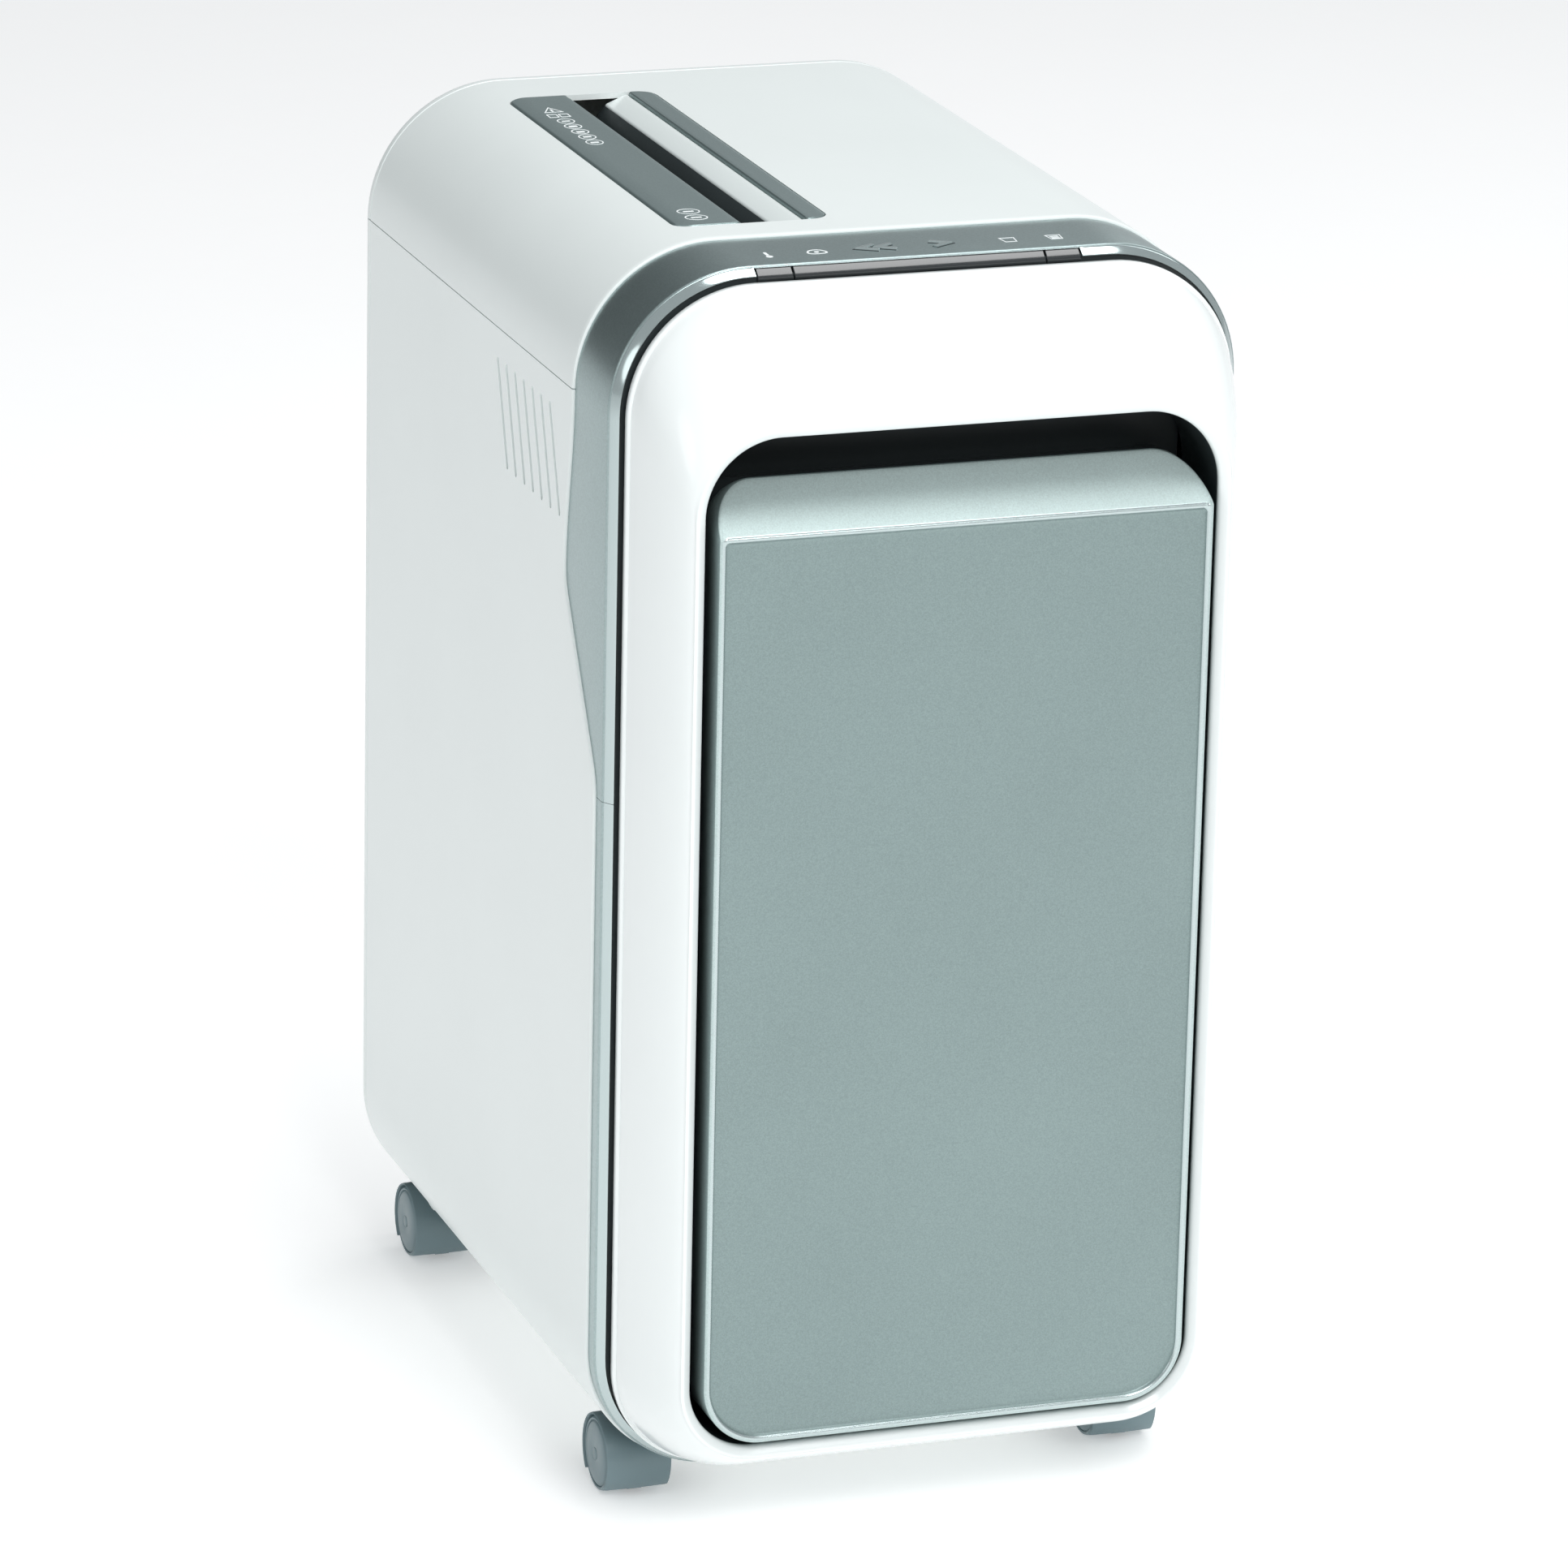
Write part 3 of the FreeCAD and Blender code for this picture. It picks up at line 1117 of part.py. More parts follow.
def make_screws():
    """Screws in front of and behind the block, down through the cradle."""
    foot = cradle_top + SCREWS["tall"]
    screws = []
    for n, (x, y) in enumerate(screw_spots()):
        name = "cradle_screw_%d" % n
        head = rod(name + "_head", "Z", SCREWS["head"], (x, y, cradle_top), SCREWS["tall"])
        shank = rod(name + "_shank", "Z", SCREWS["shank"], (x, y, foot - SCREWS["long"]), SCREWS["long"])
        screws.append(fuse(name, head, shank))
    keep(group("cradle_screws", *screws), "cradle_screws")


make_cabinet()
make_hood()
make_back_covers()
make_rear_fittings()
make_trims()
make_lens()
make_front_frame()
make_entry()
make_keys()
make_block()
make_pan()
make_inside()
make_electrics()
make_bin()
make_casters()
make_screws()
doc.recompute()

for thing in doc.Objects:
    if "Invalid" in thing.State or "Error" in thing.State:
        raise RuntimeError("%s failed: %s" % (thing.Name, thing.State))
for thing in KEPT:
    if thing.Shape.isNull() or not thing.Shape.isValid() or not thing.Shape.Solids:
        raise RuntimeError("%s has no valid solid" % thing.Label)

os.makedirs("parts", exist_ok=True)
for thing in KEPT:
    thing.Shape.exportStep("parts/%s.step" % thing.Label)
print(len(KEPT), "sub-parts written")
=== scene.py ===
import bmesh
import bpy
import json
import math
import numpy as np
from mathutils import Matrix, Vector


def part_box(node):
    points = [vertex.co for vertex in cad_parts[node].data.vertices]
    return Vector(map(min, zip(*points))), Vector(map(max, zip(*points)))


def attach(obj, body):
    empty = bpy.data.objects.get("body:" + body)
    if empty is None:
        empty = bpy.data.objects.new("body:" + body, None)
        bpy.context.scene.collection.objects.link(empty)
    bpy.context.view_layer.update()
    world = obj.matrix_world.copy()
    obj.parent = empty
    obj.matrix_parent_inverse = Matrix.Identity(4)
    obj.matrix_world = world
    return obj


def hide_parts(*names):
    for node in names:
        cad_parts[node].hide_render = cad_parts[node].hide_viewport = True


# A deskside paper shredder: white casing, silver band, sloped white front frame, silver bin front.
# Lengths are millimetres until they go into a mesh, where MM turns them into metres.
# The front faces -Y, X runs to the right as seen from the front, and the floor is at z = 0.
MM = 0.001

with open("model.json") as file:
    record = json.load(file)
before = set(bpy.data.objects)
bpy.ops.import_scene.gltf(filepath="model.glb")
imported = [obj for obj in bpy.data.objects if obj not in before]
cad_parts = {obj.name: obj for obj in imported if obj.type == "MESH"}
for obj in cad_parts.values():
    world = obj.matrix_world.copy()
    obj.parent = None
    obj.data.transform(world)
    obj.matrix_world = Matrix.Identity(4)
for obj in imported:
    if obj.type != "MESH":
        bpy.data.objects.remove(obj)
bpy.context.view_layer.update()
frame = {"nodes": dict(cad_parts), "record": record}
nodes = frame["nodes"]


def span(node):
    """Lowest and highest corner of a CAD node, in millimetres."""
    low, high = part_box(node)
    return np.array(low) / MM, np.array(high) / MM


# ------------------------------------------------------------------ sizes read from the frame

hood_low, hood_high = span("hood_shell")
cabinet_low, cabinet_high = span("cabinet_shell")
back_low, back_high = span("upper_back_cover")
trim_low, _ = span("upper_trim")
_, strip_high = span("lower_trim")
bezel_low, bezel_high = span("front_frame")
front_low, front_high = span("bin_front")
plate_low, plate_high = span("entry_plate")

HALF = hood_high[0]
TOP = hood_high[2]
BASE = cabinet_low[2]
SEAM = cabinet_high[2]
HOOD_FOOT = hood_low[2]
REAR = back_high[1]
REAR_SEAM = back_low[1]
CASING_REAR = hood_high[1]
STEP_FRONT = trim_low[1]
STEP_BACK = STEP_FRONT + 5  # the band steps down by 5 mm towards the front frame
TRIM_SPLIT = strip_high[2]
TRIM_FOOT = trim_low[2]
BEZEL_BACK = bezel_high[1]
BEZEL_FRONT = bezel_low[1]
TOP_RADIUS = 60.0
BASE_RADIUS = 55.0
WALL = 2.5
LIP_Y = STEP_BACK + 43.5  # front edge of the casing beside the upper band
FOOT_Y = STEP_BACK + 8.0  # front edge of the casing beside the lower strip
PLATE_LAP = 4  # how far the CAD entry plate reaches under the casing all round

CASTERS = ("front_left", "front_right", "rear_left", "rear_right")


def post_y(caster):
    """Depth of a caster's upright post."""
    return -104.0 if caster.startswith("front") else 164.0


# ------------------------------------------------------------------ mesh helpers

def mesh_piece(name, points, faces, body, material, smooth=35.0):
    """Makes a mesh object at the origin from points in millimetres and lists of corner numbers."""
    mesh = bpy.data.meshes.new(name)
    mesh.from_pydata((np.asarray(points, float) * MM).tolist(), [], faces)
    mesh.validate()
    mesh.update()
    piece = bpy.data.objects.new(name, mesh)
    bpy.context.scene.collection.objects.link(piece)
    mesh.materials.append(material)
    mesh.polygons.foreach_set("use_smooth", np.ones(len(mesh.polygons), bool))
    mesh.set_sharp_from_angle(angle=math.radians(smooth))
    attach(piece, body)
    return piece


def grid_faces(rows, columns, wrap_rows=False, wrap_columns=False):
    """Quads between neighbouring points of a rows x columns grid, as a list of corner numbers."""
    r = np.arange(rows if wrap_rows else rows - 1)
    c = np.arange(columns if wrap_columns else columns - 1)
    r0, c0 = np.meshgrid(r, c, indexing="ij")
    r1, c1 = (r0 + 1) % rows, (c0 + 1) % columns
    quads = np.stack([r0 * columns + c0, r0 * columns + c1, r1 * columns + c1, r1 * columns + c0], -1)
    return quads.reshape(-1, 4).tolist()


def solid_grid(points):
    """Points and faces of a closed solid whose rows are loops; the first and last rows are capped."""
    rows, columns = points.shape[:2]
    faces = grid_faces(rows, columns, wrap_columns=True)
    faces.append(list(range(columns))[::-1])
    faces.append([(rows - 1) * columns + n for n in range(columns)])
    return points.reshape(-1, 3), faces


def outward(piece):
    """Turns every face of a closed mesh outwards."""
    work = bmesh.new()
    work.from_mesh(piece.data)
    bmesh.ops.recalc_face_normals(work, faces=work.faces)
    work.to_mesh(piece.data)
    work.free()
    return piece


def at_depth(shape, y):
    """Loop of (x, z) points as (x, y, z) points; y is one number or one value per point."""
    return np.column_stack([shape[:, 0], np.broadcast_to(y, len(shape)), shape[:, 1]])


def at_height(loop, z):
    """Loop of (x, y) points as (x, y, z) points at the height z."""
    return np.column_stack([loop, np.full(len(loop), float(z))])


# Divisions of each corner, of each side and of the top and base of an outline.
ARC = 22
SIDE = 110
FLAT = 24


def outline(w, z0, z1, rt, rb, part="full", split=0.0):
    """Rounded rectangle in x and z as an (n, 2) array, anticlockwise seen from the front.

    Straight runs are evenly divided and each corner is a quarter circle: centre plus radius times
    (cos a, sin a). "upper" runs from the right split height over the top to the left one, "lower"
    from the left split height round the base to the right one.
    """
    def arc(cx, cz, radius, start):
        """Quarter circle that begins at the angle start, in degrees."""
        a = np.radians(start + np.linspace(0, 90, ARC + 1))
        return np.stack([cx + radius * np.cos(a), cz + radius * np.sin(a)], 1)

    def run(p, q, count):
        """Points inside a straight run: p times (1 - t) plus q times t, without its ends."""
        t = np.linspace(0, 1, count + 1)[1:-1, None]
        return np.array(p) * (1 - t) + np.array(q) * t

    top_right = arc(w - rt, z1 - rt, rt, 0)
    top_left = arc(rt - w, z1 - rt, rt, 90)
    base_left = arc(rb - w, z0 + rb, rb, 180)
    base_right = arc(w - rb, z0 + rb, rb, 270)
    top = run(top_right[-1], top_left[0], FLAT)
    base = run(base_left[-1], base_right[0], FLAT)
    if part == "upper" and split > z1 - rt:
        a = np.linspace(math.asin((split - z1 + rt) / rt), np.pi / 2, ARC + 1)
        bend = np.stack([w - rt + rt * np.cos(a), z1 - rt + rt * np.sin(a)], 1)
        return np.concatenate([bend, top, bend[::-1] * (-1, 1)])
    if part == "upper":
        start, end = np.array([[w, split]]), np.array([[-w, split]])
        return np.concatenate([start, run(start[0], top_right[0], SIDE), top_right, top, top_left,
                               run(top_left[-1], end[0], SIDE), end])
    if part == "lower":
        start, end = np.array([[-w, split]]), np.array([[w, split]])
        return np.concatenate([start, run(start[0], base_left[0], SIDE), base_left, base, base_right,
                               run(base_right[-1], end[0], SIDE), end])
    return np.concatenate([top_right, top, top_left, run(top_left[-1], base_left[0], SIDE), base_left,
                           base, base_right, run(base_right[-1], top_right[0], SIDE)])


def ring(inset, y, part="full", split=0.0, box=None):
    """One loop of points: the outline moved in by inset, at depth y (a number, or a function of z)."""
    w, z0, z1, rt, rb = box or (HALF, BASE, TOP, TOP_RADIUS, BASE_RADIUS)
    tightest = 0.2
    shape = outline(w - inset, z0 + inset, z1 - inset, max(rt - inset, tightest),
                    max(rb - inset, tightest), part, split)
    return at_depth(shape, y(shape[:, 1]) if callable(y) else y)


def shell(name, section, part, split, body, material, box=None):
    """Closed wall: each (inset, y) of the section is one ring, and the rings close into a tube wall.
    A part outline gives an open tube, whose two ends are capped."""
    rings = np.stack([ring(inset, y, part, split, box) for inset, y in section])
    if part == "full":
        points, faces = rings.reshape(-1, 3), grid_faces(*rings.shape[:2], True, True)
    else:
        points, faces = solid_grid(rings.transpose(1, 0, 2))
    return outward(mesh_piece(name, points, faces, body, material))


CARVED_SMOOTH = 32


def carve(piece, cutters):
    """Takes the cutters out of a piece for good and removes them."""
    for cutter in cutters:
        work = piece.modifiers.new("cut", "BOOLEAN")
        work.operation = "DIFFERENCE"
        work.solver = "EXACT"
        work.object = cutter
        graph = bpy.context.evaluated_depsgraph_get()
        graph.update()
        made = bpy.data.meshes.new_from_object(piece.evaluated_get(graph))
        piece.modifiers.clear()
        old = piece.data
        piece.data = made
        bpy.data.meshes.remove(old)
        bpy.data.objects.remove(cutter)
    piece.data.polygons.foreach_set("use_smooth", np.ones(len(piece.data.polygons), bool))
    piece.data.set_sharp_from_angle(angle=math.radians(CARVED_SMOOTH))
    return piece


def prism(name, loop, axis, low, high):
    """Cutter: a loop of (u, v) points swept between low and high along the axis x, y or z."""
    loop = np.asarray(loop, float)
    order = {"x": (1, 2, 0), "y": (0, 2, 1), "z": (0, 1, 2)}[axis]
    rows = []
    for level in (low, high):
        row = np.zeros((len(loop), 3))
        row[:, order[0]], row[:, order[1]], row[:, order[2]] = loop[:, 0], loop[:, 1], level
        rows.append(row)
    points, faces = solid_grid(np.stack(rows))
    mesh = bpy.data.meshes.new(name)
    mesh.from_pydata((points * MM).tolist(), [], faces)
    cutter = bpy.data.objects.new(name, mesh)
    bpy.context.scene.collection.objects.link(cutter)
    return outward(cutter)


def rounded_loop(u0, u1, v0, v1, radius, steps=8):
    """Rectangle with quarter-circle corners as an (n, 2) loop: corner centre plus radius times
    (cos a, sin a)."""
    a = np.radians(np.linspace(0, 90, steps + 1))
    parts = []
    for cu, cv, start in ((u1 - radius, v1 - radius, 0), (u0 + radius, v1 - radius, 90),
                          (u0 + radius, v0 + radius, 180), (u1 - radius, v0 + radius, 270)):
        turn = a + math.radians(start)
        parts.append(np.stack([cu + radius * np.cos(turn), cv + radius * np.sin(turn)], 1))
    return np.concatenate(parts)


def unit(rows):
    """Each row divided by its length."""
    return rows / np.linalg.norm(rows, axis=1)[:, None]


def plaque(name, loop, z0, z1, edge, body, material):
    """Raised flat shape from z0 to z1: the loop goes up to edge below the top, then each point moves
    in by edge, across the mean direction of its two sides."""
    loop = np.asarray(loop, float)
    tangent = unit(np.roll(loop, -1, 0) - loop) + unit(loop - np.roll(loop, 1, 0))
    tangent /= np.maximum(np.linalg.norm(tangent, axis=1)[:, None], 1e-6)
    inward = np.stack([-tangent[:, 1], tangent[:, 0]], 1)
    area = np.sum(loop[:, 0] * np.roll(loop[:, 1], -1) - loop[:, 1] * np.roll(loop[:, 0], -1))
    inner = loop + inward * edge * (1 if area > 0 else -1)
    rows = [at_height(loop, z0), at_height(loop, z1 - edge), at_height(inner, z1)]
    points, faces = solid_grid(np.stack(rows))
    return outward(mesh_piece(name, points, faces, body, material))


# ------------------------------------------------------------------ materials

def sockets(tree, node_type, **inputs):
    """New node with its inputs set by name; an underscore stands for a space."""
    node = tree.nodes.new(node_type)
    for key, value in inputs.items():
        node.inputs[key.replace("_", " ")].default_value = value
    return node


def plastic(name, colour, rough, grain=900.0, bump=0.06, mottle=0.04, metal=0.0, coat=0.0, speckle=0.0):
    """Moulded or painted finish: cloudy colour, fine grain in the bump and roughness, optional flakes."""
    material = bpy.data.materials.new(name)
    material.use_nodes = True
    tree = material.node_tree
    shader = tree.nodes["Principled BSDF"]
    shader.inputs["Metallic"].default_value = metal
    shader.inputs["Coat Weight"].default_value = coat
    shader.inputs["Coat Roughness"].default_value = 0.12
    place = tree.nodes.new("ShaderNodeTexCoord")
    cloud = sockets(tree, "ShaderNodeTexNoise", Scale=9.0, Detail=4.0, Roughness=0.55)
    fine = sockets(tree, "ShaderNodeTexNoise", Scale=grain, Detail=2.0, Roughness=0.5)
    for texture in (cloud, fine):
        tree.links.new(place.outputs["Object"], texture.inputs["Vector"])
    tone = tree.nodes.new("ShaderNodeValToRGB")
    low = [c * (1 - mottle) for c in colour]
    high = [min(1.0, c * (1 + mottle)) for c in colour]
    tone.color_ramp.elements[0].position = 0.3
    tone.color_ramp.elements[1].position = 0.7
    tone.color_ramp.elements[0].color = (*low, 1)
    tone.color_ramp.elements[1].color = (*high, 1)
    tree.links.new(cloud.outputs["Fac"], tone.inputs["Fac"])
    colour_out = tone.outputs["Color"]
    if speckle:
        flakes = sockets(tree, "ShaderNodeTexVoronoi", Scale=grain * 1.6)
        tree.links.new(place.outputs["Object"], flakes.inputs["Vector"])
        level = sockets(tree, "ShaderNodeMapRange", From_Min=0.0, From_Max=1.0, To_Min=1 - speckle,
                        To_Max=1 + speckle)
        tree.links.new(flakes.outputs["Color"], level.inputs["Value"])
        mix = tree.nodes.new("ShaderNodeVectorMath")
        mix.operation = "SCALE"
        tree.links.new(colour_out, mix.inputs[0])
        tree.links.new(level.outputs["Result"], mix.inputs["Scale"])
        colour_out = mix.outputs["Vector"]
    tree.links.new(colour_out, shader.inputs["Base Color"])
    sheen = sockets(tree, "ShaderNodeMapRange", To_Min=rough * 0.88, To_Max=min(1.0, rough * 1.14))
    tree.links.new(fine.outputs["Fac"], sheen.inputs["Value"])
    tree.links.new(sheen.outputs["Result"], shader.inputs["Roughness"])
    relief = sockets(tree, "ShaderNodeBump", Strength=bump, Distance=0.0002)
    tree.links.new(fine.outputs["Fac"], relief.inputs["Height"])
    tree.links.new(relief.outputs["Normal"], shader.inputs["Normal"])
    return material


def brushed(name, colour, rough, stretch):
    """Worked metal: noise stretched along one axis gives fine tool lines in colour, gloss and bump."""
    material = plastic(name, colour, rough, grain=260.0, bump=0.12, mottle=0.1, metal=1.0)
    tree = material.node_tree
    place = next(n for n in tree.nodes if n.type == "TEX_COORD")
    mapping = tree.nodes.new("ShaderNodeMapping")
    mapping.inputs["Scale"].default_value = stretch
    tree.links.new(place.outputs["Object"], mapping.inputs["Vector"])
    for texture in [n for n in tree.nodes if n.type == "TEX_NOISE"]:
        tree.links.new(mapping.outputs["Vector"], texture.inputs["Vector"])
    return material


WHITE = plastic("white_casing", (0.80, 0.85, 0.84), 0.34, grain=700.0, bump=0.05, mottle=0.012, coat=0.15)
FRAME_WHITE = plastic("white_gloss_frame", (0.84, 0.88, 0.875), 0.22, grain=500.0, bump=0.02, mottle=0.01,
                      coat=0.5)
SILVER = plastic("silver_paint", (0.35, 0.43, 0.43), 0.30, grain=1100.0, bump=0.10, mottle=0.03,
                 metal=0.85, speckle=0.10)
PANEL = plastic("silver_bin_paint", (0.24, 0.312, 0.308), 0.42, grain=1300.0, bump=0.12, mottle=0.03,
                metal=0.5, speckle=0.12)
# Lighter copy of the bin paint, about 1.8 times its colour, for the grip slope: painted light standing in for
# the light that the slope under the frame's brow does not get.
GRIP_PAINTED_LIGHT = plastic("grip_painted_light", (0.46, 0.56, 0.55), 0.40, grain=1300.0, bump=0.12, mottle=0.03,
               metal=0.35, speckle=0.10)
# Light silver for edges, about twice the bin panel's colour and lighter than the band's silver: a painted
# highlight on the bin's raised line, the band chamfers and the chevrons. Their low roughness is the real
# gloss of the edges.
EDGE_HIGHLIGHT_COLOUR = (0.50, 0.58, 0.58)
POLISHED_PAINTED_HIGHLIGHT = plastic("polished_edge_painted_highlight", EDGE_HIGHLIGHT_COLOUR, 0.13, grain=900.0, bump=0.02, mottle=0.02, metal=0.9)
PAINTED_HIGHLIGHT_LINE = plastic("painted_highlight_line", EDGE_HIGHLIGHT_COLOUR, 0.24, grain=900.0, bump=0.02, mottle=0.02,
                      metal=0.85)
ENTRY = plastic("entry_paint", (0.27, 0.345, 0.345), 0.34, grain=1200.0, bump=0.1, mottle=0.03, metal=0.7,
                speckle=0.08)
CHARCOAL = plastic("charcoal_grain", (0.025, 0.034, 0.036), 0.42, grain=800.0, bump=0.12, mottle=0.1)
SMOKED = plastic("smoked_window", (0.012, 0.016, 0.018), 0.08, grain=300.0, bump=0.01, mottle=0.1, coat=1.0)
PALE = plastic("pale_strip", (0.80, 0.86, 0.85), 0.25, grain=700.0, bump=0.03, mottle=0.01, coat=0.3)
PRINT = plastic("white_print", (0.88, 0.92, 0.92), 0.5, grain=1500.0, bump=0.02, mottle=0.02)
CASTER = plastic("caster_nylon", (0.165, 0.235, 0.255), 0.38, grain=600.0, bump=0.08, mottle=0.05)
BIN = plastic("bin_tub_grain", (0.06, 0.075, 0.08), 0.5, grain=600.0, bump=0.15, mottle=0.08)
GREY = plastic("grey_grain", (0.25, 0.28, 0.285), 0.5, grain=600.0, bump=0.12, mottle=0.06)
NYLON = plastic("natural_nylon", (0.72, 0.69, 0.60), 0.4, grain=400.0, bump=0.05, mottle=0.04)
BOARD = plastic("board_laminate", (0.02, 0.12, 0.05), 0.3, grain=1500.0, bump=0.1, mottle=0.15, coat=0.4)
MOTOR = plastic("motor_coating", (0.10, 0.11, 0.12), 0.45, grain=500.0, bump=0.1, mottle=0.1, metal=0.6)
STEEL = brushed("plated_steel", (0.55, 0.57, 0.58), 0.3, (1.0, 12.0, 1.0))
HARD = brushed("ground_steel", (0.38, 0.385, 0.39), 0.34, (9.0, 1.0, 9.0))
BRONZE = brushed("sintered_bronze", (0.48, 0.32, 0.15), 0.42, (1.0, 1.0, 1.0))

# Finish of every CAD node, by its material slot.
SLOT_FINISH = {
    "white_plastic": WHITE, "silver_plastic": SILVER, "pale_light_strip": PALE, "smoked_plastic": SMOKED,
    "light_lens": PRINT, "dark_plastic": CHARCOAL, "bin_plastic": BIN, "grey_plastic": GREY,
    "caster_plastic": CASTER, "gear_plastic": NYLON, "steel": STEEL, "hard_steel": HARD,
    "motor_steel": MOTOR, "bronze": BRONZE, "circuit_board": BOARD,
}
for row in frame["record"]["subparts"]:
    data = nodes[row["node"]].data
    data.materials.clear()
    data.materials.append(SLOT_FINISH[row["material_slot"]])


# ------------------------------------------------------------------ white casing

def smooth(a, b, x):
    """0 below a, 1 above b, and between them t squared times (3 - 2 t), where t is the share."""
    t = np.clip((x - a) / (b - a), 0, 1)
    return t * t * (3 - 2 * t)


def soft_max(a, b, width):
    """Larger of two values, plus width times ln(1 + e to minus their distance over width), which
    rounds the crossing."""
    return np.maximum(a, b) + width * np.log1p(np.exp(-np.abs(a - b) / width))


def lip(z):
    """Depth of the casing's front edge: straight at the top, set back by the waist below it, then a
    slant forward to the foot. The slant is the slope times bend times ln(1 + e to (knee - z) / bend),
    which is a straight ramp with a rounded start."""
    set_back, waist_low, waist_high = 9.0, 402, 478
    knee, foot, bend = 397.0, 333.0, 2.0
    slope = (30.0 + set_back) / (knee - foot)
    waist = set_back * (1 - smooth(waist_low, waist_high, z))
    forward = bend * np.logaddexp(0, (knee - z) / bend) * slope
    return soft_max(LIP_Y + waist - forward, FOOT_Y, 1.5)


def ahead(distance):
    """The lip moved forward (towards the front) by a distance."""
    return lambda z: lip(z) - distance


# Section of the casing's wall as (inset, depth): the outside, the rounded lip, then the inside.
CASING = [(0.0, CASING_REAR - 0.6), (0.0, ahead(-3.0)), (0.05, ahead(-1.0)), (0.25, ahead(-0.35)),
          (0.65, ahead(-0.05)), (1.1, ahead(0.0)), (1.7, ahead(0.0)), (2.1, ahead(-0.1)),
          (WALL - 0.15, ahead(-0.4)), (WALL, ahead(-1.4)), (WALL, CASING_REAR - 0.4),
          (2.1, CASING_REAR), (0.5, CASING_REAR)]


def make_casing():
    """Hood and cabinet: the outline carried from the back seam to the rounded lip round the band. The
    hood has the feed opening; the cabinet has slanted vents on both sides and wells for the casters."""
    hood = shell("hood", CASING, "upper", HOOD_FOOT, "cabinet", WHITE)
    play = 0.5
    hole = rounded_loop(plate_low[0] + PLATE_LAP - play, plate_high[0] - PLATE_LAP + play,
                        plate_low[1] + PLATE_LAP - play, plate_high[1] - PLATE_LAP + play, 8.5)
    carve(hood, [prism("feed_hole", hole, "z", TOP - 20, TOP + 10)])
    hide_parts("hood_shell")

    cabinet = shell("cabinet", CASING, "lower", SEAM, "cabinet", WHITE)
    cutters = []
    vent_count, vent_pitch, vent_half, vent_deep = 7, 12.1, 1.5, 1.1
    first_vent, lean_and_fall = (1.5, 466.0), np.array([14.5, 42.0])
    for side in (-1, 1):
        for n in range(vent_count):
            top = np.array([first_vent[0] - n * vent_pitch, first_vent[1]])
            foot = top - lean_and_fall
            along = (top - foot) / np.linalg.norm(top - foot)
            a = np.radians(np.linspace(-90, 90, 9))
            across = np.array([along[1], -along[0]])
            cap = vent_half * (np.cos(a)[:, None] * along + np.sin(a)[:, None] * across)
            loop = np.concatenate([top + cap, foot - cap])
            ends = (HALF - vent_deep, HALF + 5) if side > 0 else (-HALF - 5, vent_deep - HALF)
            cutters.append(prism("vent", loop, "x", *ends))
    well_radius, well_top = 30, 42
    for caster in CASTERS:
        low, high = span(caster + "_yoke")
        cx = (low[0] + high[0]) / 2
        turn = np.radians(np.arange(0, 360, 6))
        loop = np.stack([cx + well_radius * np.cos(turn), post_y(caster) + well_radius * np.sin(turn)], 1)
        cutters.append(prism("well", loop, "z", -5, well_top))
    carve(cabinet, cutters)
    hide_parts("cabinet_shell")


def make_back():
    """Back covers: each has a rim that rounds over from the side to the flat back, and a flat panel
    inside it. The lower one has round and square openings for the cord gland and the mains rocker."""
    rim = 50.0
    for name, node, part, split in (("upper_back", "upper_back_cover", "upper", HOOD_FOOT),
                                    ("lower_back", "lower_back_panel", "lower", SEAM)):
        section = [(0.4, REAR_SEAM), (0.0, REAR_SEAM + 0.5), (0.0, REAR - 2.4), (0.25, REAR - 1.2),
                   (0.9, REAR - 0.4), (2.0, REAR), (9.0, REAR), (rim, REAR), (rim, REAR - WALL),
                   (9.0, REAR - WALL), (4.0, REAR - WALL), (WALL, REAR - 4.0), (WALL, REAR_SEAM)]
        piece = shell(name + "_rim", section, part, split, "cabinet", WHITE)
        inner = outline(HALF - rim, BASE + rim, TOP - rim, TOP_RADIUS - rim, BASE_RADIUS - rim, part, split)
        filler = prism(name + "_panel", inner, "y", REAR - WALL, REAR)
        filler.data.materials.append(WHITE)
        if part == "lower":
            gland_low, gland_high = span("cord_gland")
            switch_low, switch_high = span("rocker_frame")
            gland_radius = 8.1
            hole = circle_loop((gland_low[0] + gland_high[0]) / 2, (gland_low[2] + gland_high[2]) / 2,
                               gland_radius, 48)
            play = 0.15
            gap = rounded_loop(switch_low[0] - play, switch_high[0] + play, switch_low[2] - play,
                               switch_high[2] + play, 1.0)
            carve(filler, [prism("gland_hole", hole, "y", REAR - 12, REAR + 4)])
            carve(piece, [prism("switch_hole", gap, "y", REAR - 18, REAR + 4)])
        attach(filler, "cabinet")
        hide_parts(node)


# ------------------------------------------------------------------ silver band

BAND_INSET = 1.3


